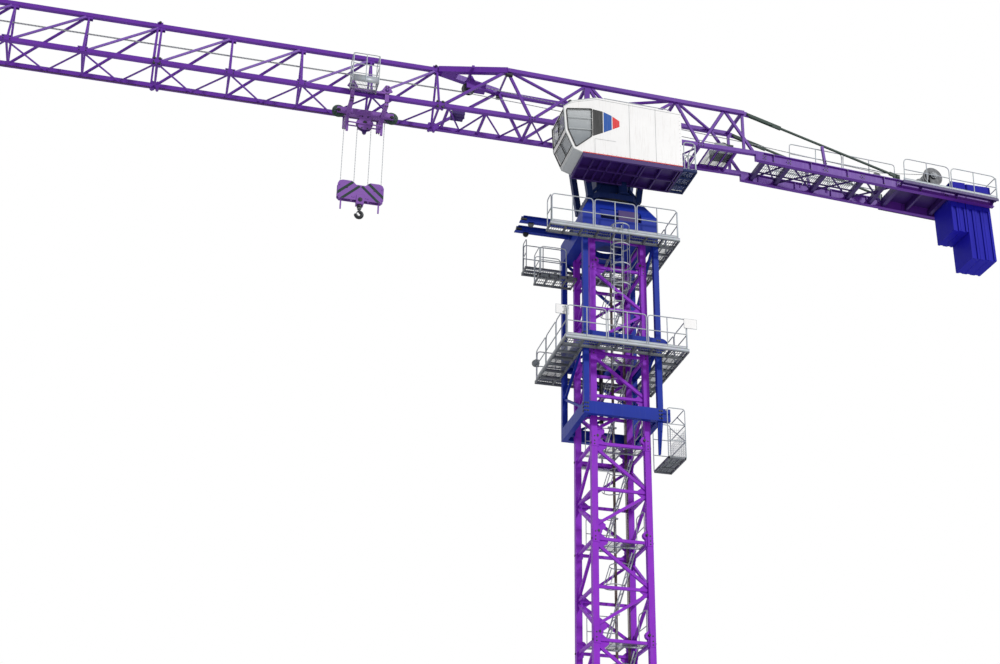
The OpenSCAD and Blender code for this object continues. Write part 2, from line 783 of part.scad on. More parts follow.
// the fork that joins the single top chord of the jib to the two top chords of the head
module top_fork() {
    z0 = jib_z + jib_h;
    z1 = head_z(-head_top_start);
    in = side + chord_w / 2;
    color(purple) intersection() {
        union() {
            for (s = [-1, 1]) bar([-jib_root - 100, s * 20, z0], [-head_top_start + 150, s * side, z1], 180, 230);
            bar([-jib_root - 100, 0, z0], [-jib_root + 700, 0, z0 - 10], 200, 240);
            block([-5250, -150, z0 - 620], [-4550, 150, z0 - 330]);
            bar([-5100, 0, z0 - 60], [-4900, 0, z1 - 380], 130);
            bar([-5150, -side, z0 - 100], [-5150, side, z0 - 100], 90);
            bar([-4950, 0, z1 - 340], [-4150, side - 210, z1 - 120], 90);
        }
        block([-jib_root, -in, jib_z], [-head_top_start, in, jib_z + 2 * jib_h]);
    }
}

module jib_top_chord() {
    z = jib_z + jib_h;
    color(purple) {
        block([-tip_x, -chord_w / 2, z - chord_w / 2], [-jib_root, chord_w / 2, z + chord_w / 2]);
        for (x = [-jib_root - 30, -jib_root - 4 * panel]) {
            block([x - 170, -60, z], [x + 30, 60, z + 150]);
            translate([x - 70, 100, z + 110]) rotate([90, 0, 0]) cylinder(h = 200, r = 40, $fn = 24);
        }
    }
}

// the first and last uprights stand just inside the ends of the chords
function end_shift(n) = n == 0 ? -web_w / 2 - 12 : n == panel_count ? web_w / 2 + 12 : 0;

// one sloping face of the jib: its lower chord, uprights and diagonals
module jib_side(s) {
    z1 = jib_z + jib_h;
    in = side - web_inset;
    reach = chord_w / 2;
    difference() {
        intersection() {
            union() {
                for (n = [0:panel_count]) {
                    x = -jib_root - n * panel + end_shift(n);
                    bar([x, s * in, jib_z], [x, 0, z1], web_w);
                    if (n < panel_count)
                        bar([x, 0, z1], [-jib_root - (n + 1) * panel, s * in, jib_z], web_w);
                }
                x4 = -jib_root - 4 * panel - 130;
                bar([x4, s * in, jib_z], [x4, 0, z1], web_w);
            }
            block([-tip_x, min(0, s * gauge), jib_z], [-jib_root, max(0, s * gauge), z1]);
        }
        block([-tip_x - 1, -reach, z1 - reach], [-jib_root + 1, reach, z1 + reach]);
    }
    translate([0, s * side, jib_z]) {
        block([-tip_x, -chord_w / 2, -chord_w / 2], [-jib_root, chord_w / 2, chord_w / 2]);
        for (n = [0, 4]) block([-jib_root - n * panel - 160, -chord_w / 2, -chord_w / 2 - 50],
            [-jib_root - n * panel, chord_w / 2, chord_w / 2]);
    }
}

module jib_near_side() {
    color(purple) jib_side(-1);
}

module jib_far_side() {
    color(purple) jib_side(1);
}

module jib_bottom_bracing() {
    in = side - chord_w / 2;
    z = jib_z - 37;
    color(purple) intersection() {
        for (n = [0:panel_count]) {
            x = -jib_root - n * panel + end_shift(n);
            bar([x, -side, z], [x, side, z], 70);
            if (n < panel_count) {
                bar([x, -side, z], [x - panel / 2, side, z], 45);
                bar([x - panel / 2, side, z], [x - panel, -side, z], 45);
            }
        }
        block([-tip_x, -in, jib_z - 100], [-jib_root, in, jib_z + 100]);
    }
}

// end frame with the sheave that returns the trolley rope
module jib_tip() {
    z1 = jib_z + jib_h;
    t = 100;
    reach = 380;
    color(purple) translate([-tip_x, 0, 0]) {
        block([-t, -side - chord_w / 2, jib_z - 75], [0, side + chord_w / 2, jib_z + 75]);
        intersection() {
            for (s = [-1, 1]) bar([-t / 2, s * side, jib_z], [-t / 2, 0, z1], t);
            block([-t, -gauge, jib_z], [0, gauge, z1 + 75]);
        }
        block([-t, -120, z1 - 150], [0, 120, z1 + 75]);
        for (y = [-60, 36]) block([-reach, y, jib_z - 75], [-t, y + 24, jib_z + 75]);
    }
    color([0.2, 0.3, 0.24]) translate([-tip_x - reach + 60, 36, jib_z]) rotate([90, 0, 0])
        cylinder(h = 72, r = 130, $fn = 32);
}

// side outline of the cab house: x from its front, z from its floor
function cab_outline() = [[720, 0], [400, 110], [110, 780], [50, 1740], [350, 2020], [1250, cab_h],
    [2700, cab_h - 30], [cab_len, cab_h - 110], [cab_len, 0]];

module cab_prism(grow) {
    rotate([90, 0, 0]) linear_extrude(cab_w - 2 * grow) offset(delta = -grow) polygon(cab_outline());
}

// the window in each long side
module side_windows() {
    for (y = [2 * cab_wall - 1, -cab_w + 2 * cab_wall + 1]) translate([0, y, 0]) rotate([90, 0, 0])
        linear_extrude(4 * cab_wall) polygon([[140, 1660], [1050, 1800], [1050, 700], [480, 180], [200, 850]]);
}

// the upper and the lower front window
module front_windows() {
    front = 2 * cab_wall;
    block([-100, -cab_w + front, 900], [260, -front, 1640]);
    translate([0, -front, 0]) rotate([90, 0, 0])
        linear_extrude(cab_w - 2 * front) polygon([[-100, 700], [-100, 230], [460, 230], [260, 700]]);
}

module cab_house() {
    color("white") translate([-cab_front, -cab_in, cab_z]) difference() {
        cab_prism(0);
        intersection() {
            translate([0, -cab_wall, 0]) cab_prism(cab_wall);
            block([0, -cab_w, 0], [1500, 0, cab_h]);
        }
        side_windows();
        front_windows();
    }
}

module cab_windows() {
    t = 12;
    color([0.45, 0.52, 0.55, 0.5]) translate([-cab_front, -cab_in, cab_z]) {
        intersection() {
            side_windows();
            for (y = [-cab_wall / 2, -cab_w + cab_wall / 2]) block([0, y - t / 2, 0], [1500, y + t / 2, cab_h]);
        }
        intersection() {
            front_windows();
            difference() {
                cab_prism(cab_wall * 0.3);
                cab_prism(cab_wall * 0.3 + t);
            }
        }
    }
}

module cab_floor() {
    x0 = -cab_front + 720;
    x1 = -cab_front + cab_len;
    rib = 60;
    arm_x = table_foot_x + (table_head_x - table_foot_x) * (cab_z - cab_rib_h / 2 - ring_top) / table_h;
    color([0.26, 0.12, 0.42]) {
        difference() {
            block([x0, -cab_in - cab_w, cab_z - cab_rib_h], [x1, -cab_in, cab_z]);
            for (i = [0:4], j = [0:1]) {
                w = (x1 - x0 - rib) / 5;
                d = (cab_w - rib) / 2;
                block([x0 + rib + i * w, -cab_in - cab_w + rib + j * d, cab_z - cab_rib_h - 1],
                    [x0 + (i + 1) * w, -cab_in - cab_w + (j + 1) * d, cab_z - 40]);
            }
        }
        for (s = [-1, 1]) block([s * arm_x - 70, -cab_in, cab_z - cab_rib_h], [s * arm_x + 70, -leg_face, cab_z]);
    }
}

// open grating landing behind the cab and the blue beam that carries it
module cab_walkway() {
    x0 = -cab_front + cab_len;
    w = 520;
    bar_w = 50;
    z0 = cab_z - cab_rib_h;
    color([0.13, 0.17, 0.42]) {
        for (y = [-cab_in - cab_w, -cab_in - cab_w / 2, -cab_in - bar_w])
            block([x0, y, z0], [x0 + w, y + bar_w, z0 + 120]);
        block([x0 + w - bar_w, -cab_in - cab_w, z0], [x0 + w, -cab_in, z0 + 120]);
        block([x0, -cab_in - cab_w, z0 + 120], [x0 + w, -cab_in, z0 + 150]);
        rail_panel([x0 + w - 20, -cab_in - cab_w + 20, z0 + 150], [x0 + w - 20, -cab_in - 20, z0 + 150], rail_h, 3);
    }
}

module trolley_winch() {
    z = jib_z + 85;
    color(grey) translate([winch_x, 0, z]) {
        block([-360, -300, 0], [360, -260, 420]);
        block([-360, 260, 0], [360, 300, 420]);
        block([-360, -300, 0], [360, 300, 40]);
        translate([0, 260, 300]) rotate([90, 0, 0]) cylinder(h = 520, r = 130, $fn = 32);
        for (y = [-220, 250]) translate([0, y, 300]) rotate([90, 0, 0]) cylinder(h = 30, r = 210, $fn = 32);
    }
}

// the frame of the counter-jib: x from its joint, z from the chord centre
module on_counter_jib() {
    translate([head_end, 0, jib_z]) rotate([0, droop, 0]) children();
}

cross_pitch = 1450;
stiff_x = 700;
web_half = 25;
tie_lug_x = 5600;
tie_post_x = head_end + 2760;
deck_start = tie_lug_x + 50;
deck_end = counter_len - 1800;
platform_x = deck_start + 50;
hoist_x = deck_end - 430;
tie_foot_x = head_end + tie_lug_x * cos(droop) + (beam_top + 160) * sin(droop);
tie_foot_z = jib_z - tie_lug_x * sin(droop) + (beam_top + 160) * cos(droop);

// just under a counter-jib tie at x
function under_tie(x) = tie_z + (x - tie_x) * (tie_foot_z - tie_z) / (tie_foot_x - tie_x) - tie_r * 1.1 - 2;

module counter_beams() {
    low = beam_top - counter_beam_h;
    color(purple) for (s = [-1, 1]) translate([head_end, s * side, jib_z]) intersection() {
        rotate([0, droop, 0]) union() {
            block([-60, -80, low], [counter_len, 80, low + 30]);
            block([-60, -80, beam_top - 30], [counter_len, 80, beam_top]);
            block([-60, -web_half, low], [counter_len, web_half, beam_top]);
            for (x = [stiff_x:cross_pitch:counter_len]) block([x, -80, low], [x + 24, 80, beam_top]);
            block([-60, -80, low], [300, 80, beam_top]);
        }
        block([0, -200, -2000], [counter_len + 200, 200, 400]);
    }
    color(purple) for (s = [-1, 1])
        bar([tie_post_x, s * side, jib_z - (tie_post_x - head_end) * tan(droop)],
            [tie_post_x - 80, s * side, under_tie(tie_post_x - 30)], 90);
}

module counter_deck() {
    low = beam_top - counter_beam_h;
    in = side - 80 - seat_gap;
    web = side - web_half - seat_gap;
    cross_w = 140;
    deck_mid = (deck_start + deck_end) / 2 - 55;
    cross = [340, 1300, 1300 + cross_pitch, 1300 + 2 * cross_pitch, deck_start, deck_end - cross_w];
    color([0.3, 0.14, 0.46]) on_counter_jib() {
        for (x = concat(cross, [pulley_x - cross_w / 2])) block([x, -web, low + 60], [x + cross_w, web, low + 260]);
        intersection() {
            for (i = [0:3]) {
                bar([cross[i] + 70, -side, low + 160], [cross[i + 1] + 70, side, low + 160], 50);
                bar([cross[i] + 70, side, low + 160], [cross[i + 1] + 70, -side, low + 160], 50);
            }
            block([0, -web, low], [counter_len, web, beam_top]);
        }
        block([deck_start, -in, beam_top - 40], [deck_end, in, beam_top]);
        for (x = [deck_start, deck_mid, deck_end - 80]) block([x, -in, low + 60], [x + 80, in, beam_top - 40]);
        for (s = [-1, 1]) outer_walk(s);
    }
}

// the narrow walkway outside one beam, on brackets at the stiffeners of the beam
module outer_walk(s) {
    a = side + 80 + seat_gap;
    lip = 40;
    intersection() {
        union() {
            block([platform_x, s > 0 ? a : -walk_y, walk_z - 30], [counter_len + 60, s > 0 ? walk_y : -a, walk_z]);
            block([platform_x, s > 0 ? walk_y - lip : -walk_y, walk_z - 100],
                [counter_len + 60, s > 0 ? walk_y : lip - walk_y, walk_z]);
            for (x = [platform_x, for (v = [stiff_x + 4 * cross_pitch:cross_pitch:counter_len]) v])
                block([x, -walk_y, walk_z - 100], [x + 40, walk_y, walk_z]);
        }
        block([0, s > 0 ? a : -2 * side, walk_z - 200], [2 * counter_len, s > 0 ? 2 * side : -a, walk_z]);
    }
}

module counter_rails() {
    o = walk_y - 20;
    n = side - 120;
    first = 1370;
    z = beam_top - counter_beam_h + 260;
    color(grey) on_counter_jib() for (s = [-1, 1]) {
        rail_panel([first, s * n, z], [first + 3 * cross_pitch - 100, s * n, z], rail_h - 260, 7);
        rail_panel([platform_x + 20, s * o, walk_z], [counter_len + 40, s * o, walk_z], rail_h - 150, 5);
        rail_panel([counter_len + 40, s * (o - 60), walk_z], [counter_len + 40, s * (side + 110), walk_z], rail_h - 150, 2);
    }
}

// tie bars with their link plates, from the head truss to lugs on the beams
module counter_ties() {
    link = 0.16;
    for (s = [-1, 1]) translate([0, s * side, 0]) color([0.24, 0.2, 0.3]) {
        a = [tie_x, 0, tie_z];
        b = [tie_foot_x, 0, tie_foot_z];
        m = a + (b - a) * link;
        n = a + (b - a) * (link + 0.06);
        for (y = [-45, 45]) bar(a + [-50, y, 14], m + [30, y, -8], 20, 110);
        bar(m - (b - a) * 0.006, n, 60, 150);
        bar(m, b, 2 * tie_r, 2 * tie_r);
        bar(b - (b - a) * 0.05, b, 72, 130);
        for (p = [a, m]) translate([p[0], 58, p[2]]) rotate([90, 0, 0]) cylinder(h = 116, r = tie_pin_r, $fn = 32);
        translate([head_end, 0, jib_z]) rotate([0, droop, 0])
            block([tie_lug_x - 140, -30, beam_top], [tie_lug_x + 120, 30, beam_top + 230]);
    }
}

// drum between two bearing plates, with its motor and gearbox, on a frame of its own
module hoist_winch() {
    shaft_z = 700;
    end = 390;
    long = 1300;
    foot_z = beam_top - counter_beam_h + 260;
    pulley_z = 560;
    color(grey) on_counter_jib() translate([hoist_x, 0, beam_top]) {
        for (y = [-560, 480]) block([end - long, y, 0], [end, y + 80, 140]);
        for (x = [end - long, -480, end - 80]) block([x, -560, 0], [x + 80, 560, 100]);
        for (y = [-480, 440]) block([-160, y, 0], [160, y + 40, shaft_z + 120]);
        translate([0, 445, shaft_z]) rotate([90, 0, 0]) cylinder(h = 890, r = 290, $fn = 48);
        for (y = [-370, 435]) translate([0, y, shaft_z]) rotate([90, 0, 0]) cylinder(h = 36, r = 385, $fn = 48);
        translate([-640, 330, 280]) rotate([90, 0, 0]) cylinder(h = 660, r = 150, $fn = 32);
        block([-800, -300, 60], [-480, 300, 150]);
        block([-780, 330, 60], [-180, 480, 560]);
    }
    color(grey) on_counter_jib() translate([pulley_x, 0, 0]) {
        for (y = [-62, 38]) block([-60, y, foot_z], [60, y + 24, pulley_z + 60]);
        translate([0, 70, pulley_z]) rotate([90, 0, 0]) cylinder(h = 140, r = 30, $fn = 24);
        translate([0, 30, pulley_z]) rotate([90, 0, 0]) cylinder(h = 60, r = 170, $fn = 40);
    }
}

// slabs that hang between the beams by their ears, with ribs on the outer faces
module slabs(x0, x1, count, tall) {
    hw = side - 80 - 25;
    step = (x1 - x0) / count;
    top = beam_top + 390;
    lean = jib_z - (x0 - head_end) * tan(droop);
    for (i = [0:count - 1]) {
        xa = x0 + i * step;
        xb = xa + step - 12;
        difference() {
            block([xa, -hw, lean + top - tall], [xb, hw, lean + top]);
            for (s = [-1, 1]) block([xa + step * 0.3, min(s * (hw - 40), s * (hw + 1)), lean + top - tall - 1],
                [xa + step * 0.7, max(s * (hw - 40), s * (hw + 1)), lean - 500]);
        }
        block([xa, -side + 90, lean + 100], [xb, side - 90, lean + top]);
    }
    block([x0, -side - 60, lean + top - 70], [x1 - 12, side + 60, lean + top]);
    for (s = [-1, 1]) intersection() {
        block([x0, min(s * (side - 60), s * (side + 60)), lean - 400],
            [x1 - 12, max(s * (side - 60), s * (side + 60)), lean + top]);
        on_counter_jib() block([0, -gauge, beam_top], [2 * counter_len, gauge, 2 * slab_long]);
    }
}

module short_slabs() {
    end = head_end + counter_len;
    color(blue) slabs(end - 1720, end - 1120, 2, slab_short);
}

module long_slabs() {
    end = head_end + counter_len;
    color(blue) slabs(end - 1100, end - 100, 3, slab_long);
}

// everything on the trolley is placed from the trolley centre
frame_y = side + chord_w / 2 + 70;
wheel_z = jib_z + chord_w / 2 + wheel_r + joint_gap;
cross_z = jib_z - chord_w / 2 - 330;
leg_x = 600;
plate_t = 40;
flange_t = 12;
tread_y = side + chord_w / 2 - wheel_t / 2 + 6;
wheel_face = tread_y + wheel_t / 2 + flange_t;

module trolley_frame() {
    beam_h = 240;
    color(purple) translate([-trolley_r, 0, 0]) {
        for (x = [-leg_x, leg_x], s = [-1, 1]) {
            translate([x, s * frame_y + plate_t / 2, 0]) rotate([90, 0, 0]) linear_extrude(plate_t)
                polygon([[-70, cross_z], [70, cross_z], [70, wheel_z - 120], [190, wheel_z - 40],
                    [60, wheel_z + 190], [-60, wheel_z + 190], [-190, wheel_z - 40], [-70, wheel_z - 120]]);
            translate([x, s > 0 ? frame_y + 50 : -wheel_face, wheel_z]) rotate([90, 0, 0])
                cylinder(h = frame_y + 50 - wheel_face, r = 30, $fn = 24);
        }
        for (x = [-leg_x, leg_x])
            block([x - 70, -frame_y - plate_t / 2, cross_z - 60], [x + 70, frame_y + plate_t / 2, cross_z + 80]);
        difference() {
            block([-sheave_x - 60, -90, cross_z - 60], [sheave_x + 60, 90, cross_z + beam_h - 60]);
            for (s = [-1, 1]) block([s * sheave_x - sheave_r - 30, -45, cross_z - 100],
                [s * sheave_x + sheave_r + 30, 45, cross_z + beam_h]);
        }
        for (s = [-1, 1]) translate([s * sheave_x, 0, cross_z + 40]) rotate([90, 0, 0])
            cylinder(h = 190, r = 30, center = true, $fn = 24);
        for (y = [-90, 60]) translate([0, y + 30, cross_z - 330]) rotate([90, 0, 0])
            cylinder(h = 30, r = 300, $fn = 8);
        block([-60, -90, cross_z - 330], [60, -60, cross_z]);
        block([-60, 60, cross_z - 330], [60, 90, cross_z]);
        translate([0, 0, cross_z - 330]) rotate([90, 0, 0]) cylinder(h = 180, r = 30, center = true, $fn = 24);
        for (x = [-leg_x, leg_x]) {
            block([x - 40, -40, cross_z - 700], [x + 40, 40, cross_z]);
        }
        for (y = [-125, 95]) block([-leg_x, y, cross_z - 420], [leg_x, y + 30, cross_z - 380]);
        for (x = [-leg_x, leg_x]) block([x - 30, -125, cross_z - 420], [x + 30, 125, cross_z - 380]);
        block([-leg_x, frame_y - plate_t / 2, jib_z + 20], [leg_x, frame_y + plate_t / 2, jib_z + 90]);
        block([-leg_x, -frame_y - plate_t / 2, jib_z + 20], [leg_x, -frame_y + plate_t / 2, jib_z + 90]);
    }
}

// wheels on the lower chords, and the rope sheaves
module trolley_wheels() {
    color([0.16, 0.26, 0.2]) translate([-trolley_r, 0, 0]) {
        for (x = [-leg_x, leg_x], s = [-1, 1]) translate([x, s * tread_y, wheel_z]) rotate([90, 0, 0]) {
            cylinder(h = wheel_t, r = wheel_r, center = true, $fn = 40);
            translate([0, 0, -s * (wheel_t + flange_t) / 2])
                cylinder(h = flange_t, r = wheel_r + 18, center = true, $fn = 40);
        }
        for (s = [-1, 1]) translate([s * sheave_x, 0, cross_z + 40]) rotate([90, 0, 0]) difference() {
            rotate_extrude($fn = 64) polygon([[30, -35], [sheave_r, -35], [sheave_r, -25],
                [sheave_r - 30, -6], [sheave_r - 30, 6], [sheave_r, 25], [sheave_r, 35], [30, 35]]);
            for (a = [0:60:300]) rotate([0, 0, a]) translate([sheave_r * 0.55, 0, -50])
                cylinder(h = 100, r = 32, $fn = 24);
        }
        translate([0, 0, cross_z - 330]) rotate([90, 0, 0]) rotate_extrude($fn = 64)
            polygon([[30, -35], [fall_in + 18, -35], [fall_in + 18, -25], [fall_in - 12, -6],
                [fall_in - 12, 6], [fall_in + 18, 25], [fall_in + 18, 35], [30, 35]]);
    }
}

// the service basket on the near side
module trolley_basket() {
    w = 900;
    d = 620;
    t = 30;
    y1 = -frame_y - plate_t / 2;
    z0 = jib_z - 60;
    tall = 1150;
    color(grey) translate([-trolley_r - 250, 0, 0]) {
        block([-w / 2, y1 - d, z0], [w / 2, y1, z0 + 30]);
        for (x = [-w / 2, w / 2 - t], y = [y1 - d, y1 - t]) block([x, y, z0], [x + t, y + t, z0 + tall]);
        for (z = [z0 + tall / 2, z0 + tall - t]) {
            block([-w / 2, y1 - d, z], [w / 2, y1 - d + t, z + t]);
            for (x = [-w / 2, w / 2 - t]) block([x, y1 - d, z], [x + t, y1, z + t]);
        }
    }
}

hook_top = jib_z - hook_drop;

// four straight falls between the trolley and the hook block
module rope_falls() {
    low = hook_top - 280;
    color([0.75, 0.76, 0.77]) translate([-trolley_r, 0, 0]) {
        for (x = [-fall_x, fall_x]) translate([x, 0, low]) cylinder(h = cross_z + 40 - low, r = rope_r, $fn = 8);
        for (x = [-fall_in, fall_in]) translate([x, 0, low]) cylinder(h = cross_z - 330 - low, r = rope_r, $fn = 8);
    }
}

// outline of a hook block cheek plate, centred, top at z = 0
function cheek() = let (w = block_w / 2, h = block_h) [[-w, -h + 220], [-w + 80, -h + 140], [w - 80, -h + 140],
    [w, -h + 220], [w, -150], [w - 50, -45], [w - 160, 0], [310, 0], [230, -60], [160, -130], [-160, -130],
    [-230, -60], [-310, 0], [-w + 160, 0], [-w + 50, -45], [-w, -150]];

module hook_block() {
    t = 24;
    gap = 150;
    color(purple) translate([-trolley_r, 0, hook_top]) {
        for (y = [-gap / 2, gap / 2 + t]) translate([0, y, 0]) rotate([90, 0, 0])
            linear_extrude(t) polygon(cheek());
        for (x = [-block_w / 2 + 60, -330, 250, block_w / 2 - 140])
            block([x, -gap / 2, -block_h + 160], [x + 80, gap / 2, -block_h + 240]);
        block([-130, -gap / 2 - t - 20, -block_h], [130, gap / 2 + t + 20, -block_h + 330]);
        for (x = [-block_w / 2 + 120, block_w / 2 - 170])
            block([x, -25, -block_h - 220], [x + 50, 25, -block_h + 170]);
    }
    color([0.2, 0.2, 0.22]) translate([-trolley_r, 0, hook_top]) for (s = [-1, 1])
        translate([s * (fall_x + fall_in) / 2, 0, -280]) rotate([90, 0, 0])
            cylinder(h = gap, r = (fall_x - fall_in) / 2 - rope_r - 0.3, center = true, $fn = 48);
}

// swivelling hook with its nut and a round bow
module hook() {
    r = 105;
    bow = 62;
    z = hook_top - block_h - joint_gap;
    color([0.12, 0.12, 0.13]) translate([-trolley_r, 0, z]) {
        translate([0, 0, -90]) cylinder(h = 90, r = 90, $fn = 40);
        translate([0, 0, -260]) cylinder(h = 180, r = 48, $fn = 32);
        translate([0, 0, -260 - r]) rotate([90, 0, 0]) rotate([0, 0, -180]) rotate_extrude(angle = 270, $fn = 48)
            translate([r, 0]) circle(r = bow, $fn = 24);
    }
}

base_frame();
mast_near_side();
mast_far_side();
mast_left_side();
mast_right_side();
mast_ladders();
power_cable();
climb_rod();
cage_near_frame();
cage_far_frame();
cage_left_frame();
cage_right_frame();
cage_guides();
upper_platform();
upper_rails();
lower_platform();
lower_rails();
access_baskets();
feed_beams();
climb_cylinder();
rail_boxes();
slewing_support();
slewing_ring();
turntable();
head_near_side();
head_far_side();
head_top_bracing();
head_walkway();
top_fork();
jib_top_chord();
jib_near_side();
jib_far_side();
jib_bottom_bracing();
jib_tip();
cab_house();
cab_windows();
cab_floor();
cab_walkway();
trolley_winch();
counter_beams();
counter_deck();
counter_rails();
counter_ties();
hoist_winch();
short_slabs();
long_slabs();
trolley_frame();
trolley_wheels();
trolley_basket();
rope_falls();
hook_block();
hook();
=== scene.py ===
import math
from itertools import product
import bmesh
import bpy
from mathutils import Matrix, Vector


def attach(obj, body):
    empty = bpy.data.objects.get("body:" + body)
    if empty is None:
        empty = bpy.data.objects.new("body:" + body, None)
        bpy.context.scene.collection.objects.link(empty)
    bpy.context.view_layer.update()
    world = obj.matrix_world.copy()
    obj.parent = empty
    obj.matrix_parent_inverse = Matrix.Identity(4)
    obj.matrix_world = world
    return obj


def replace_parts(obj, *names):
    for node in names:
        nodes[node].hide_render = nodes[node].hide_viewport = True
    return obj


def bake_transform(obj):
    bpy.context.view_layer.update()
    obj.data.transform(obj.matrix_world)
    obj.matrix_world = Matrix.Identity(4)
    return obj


print("stage: frame")
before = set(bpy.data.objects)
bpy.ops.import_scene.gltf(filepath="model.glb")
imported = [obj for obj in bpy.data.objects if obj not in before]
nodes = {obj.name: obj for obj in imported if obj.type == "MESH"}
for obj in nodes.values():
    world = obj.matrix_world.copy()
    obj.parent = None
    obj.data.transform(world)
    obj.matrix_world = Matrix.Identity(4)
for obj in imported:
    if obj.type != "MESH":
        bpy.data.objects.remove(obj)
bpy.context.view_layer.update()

# sizes that the CAD model fixes, in metres
site = {
    "halfMast": 0.9, "footHigh": 0.6, "sectionHigh": 3.2, "sections": 9, "mastTop": 30.3,
    "jibZ": 34.835, "jibHigh": 1.96, "jibRoot": 6.28, "panel": 2.43, "panels": 7, "side": 0.725,
    "headEnd": 5.4, "headStart": 3.9, "headStop": 5.05, "headHigh": 1.9, "headDrop": 0.23,
    "droop": math.radians(3),
}
mast, cage, upper = "mast", "climbing_cage", "upperworks"
trolley, block, hook = "trolley", "hook_block_body", "hook_body"
alongX, alongY, alongZ = (1, 0, 0), (0, 1, 0), (0, 0, 1)
bothWays = (-1, 1)
corners = list(product(bothWays, bothWays))

# the camera of the photograph
lens = {"place": (-14.912, -46.002, 3.886), "pitch": 0.45, "yaw": 0.2362, "roll": 0.0177, "mm": 56.82}


def makeCamera():
    pitch, yaw, roll = lens["pitch"], lens["yaw"], lens["roll"]
    ahead = Vector((math.sin(yaw) * math.cos(pitch), math.cos(yaw) * math.cos(pitch), math.sin(pitch)))
    right = Vector((math.cos(yaw), -math.sin(yaw), 0))
    up = right.cross(ahead)
    across = right * math.cos(roll) + up * math.sin(roll)
    upward = up * math.cos(roll) - right * math.sin(roll)
    camera = bpy.data.objects.new("Camera", bpy.data.cameras.new("Camera"))
    turned = Matrix((across, upward, -ahead)).transposed().to_4x4()
    camera.matrix_world = Matrix.Translation(lens["place"]) @ turned
    camera.data.lens = lens["mm"]
    camera.data.sensor_width = 36
    camera.data.clip_end = 1500
    bpy.context.scene.collection.objects.link(camera)
    bpy.context.scene.camera = camera


def hexColour(text):
    linear = []
    for i in (1, 3, 5):
        c = int(text[i:i + 2], 16) / 255
        linear.append(c / 12.92 if c <= 0.04045 else ((c + 0.055) / 1.055) ** 2.4)
    return (*linear, 1.0)


# an input may be a socket, a node, which gives its first output, a hex colour or a plain value
def setInputs(tree, node, inputs):
    for key, value in inputs.items():
        if isinstance(value, bpy.types.Node):
            value = value.outputs[0]
        if isinstance(value, str) and value.startswith("#"):
            value = hexColour(value)
        if isinstance(value, bpy.types.NodeSocket):
            tree.links.new(value, node.inputs[key])
        else:
            node.inputs[key].default_value = value


def addNode(tree, kind, settings=None, inputs=None):
    node = tree.nodes.new(kind)
    for key, value in (settings or {}).items():
        setattr(node, key, value)
    setInputs(tree, node, inputs or {})
    return node


def newMaterial(name):
    material = bpy.data.materials.new(name)
    material.use_nodes = True
    tree = material.node_tree
    return material, tree, tree.nodes["Principled BSDF"]


# what a coat has unless its own call says otherwise: shares of dust and rust, pattern sizes, gloss
coatLook = {
    "dust": 0.14, "rust": 0.4, "patchMm": 900, "runMm": 70, "chipMm": 120, "rough": 0.42, "shine": 0.3,
    "runStretch": 14, "rustHex": "#5A3A2C",
}
rgba = {"data_type": "RGBA"}


# Alkyd enamel sprayed on structural steel: even colour, soft gloss, dust lying in long runs
# and small spots of rust where the coat is chipped.
def enamelOnSteel(name, bright, deep, dustHex, **changes):
    look = {**coatLook, **changes}
    material, tree, surface = newMaterial(name)
    place = addNode(tree, "ShaderNodeTexCoord").outputs["Object"]
    patch = addNode(tree, "ShaderNodeTexNoise", inputs={
        "Vector": place, "Scale": 1000 / look["patchMm"], "Detail": 4.0, "Roughness": 0.6})
    across, down = 1000 / look["runMm"], 1000 / (look["runMm"] * look["runStretch"])
    runsMap = addNode(tree, "ShaderNodeMapping", inputs={"Vector": place, "Scale": (across, across, down)})
    runs = addNode(tree, "ShaderNodeTexNoise", inputs={
        "Vector": runsMap, "Scale": 1.0, "Detail": 3.0, "Roughness": 0.65})
    chips = addNode(tree, "ShaderNodeTexNoise", inputs={
        "Vector": place, "Scale": 1000 / look["chipMm"], "Detail": 5.0, "Roughness": 0.7})
    coat = addNode(tree, "ShaderNodeMix", rgba, {
        0: patch, 6: deep, 7: bright})
    dustMask = addNode(tree, "ShaderNodeMapRange", inputs={
        "Value": runs, "From Min": 0.52, "From Max": 0.78, "To Max": look["dust"]})
    dusty = addNode(tree, "ShaderNodeMix", rgba, {
        0: dustMask, 6: coat.outputs[2], 7: dustHex})
    rustMask = addNode(tree, "ShaderNodeMapRange", inputs={
        "Value": chips, "From Min": 0.66, "From Max": 0.72, "To Max": look["rust"]})
    worn = addNode(tree, "ShaderNodeMix", rgba, {
        0: rustMask, 6: dusty.outputs[2], 7: look["rustHex"]})
    rough = addNode(tree, "ShaderNodeMapRange", inputs={
        "Value": runs, "To Min": look["rough"] - 0.08, "To Max": look["rough"] + 0.14})
    bump = addNode(tree, "ShaderNodeBump", inputs={
        "Height": chips, "Strength": 0.25, "Distance": 0.003})
    setInputs(tree, surface, {
        "Base Color": worn.outputs[2], "Roughness": rough, "Normal": bump,
        "IOR": 1.4, "Specular IOR Level": look["shine"]})
    return material


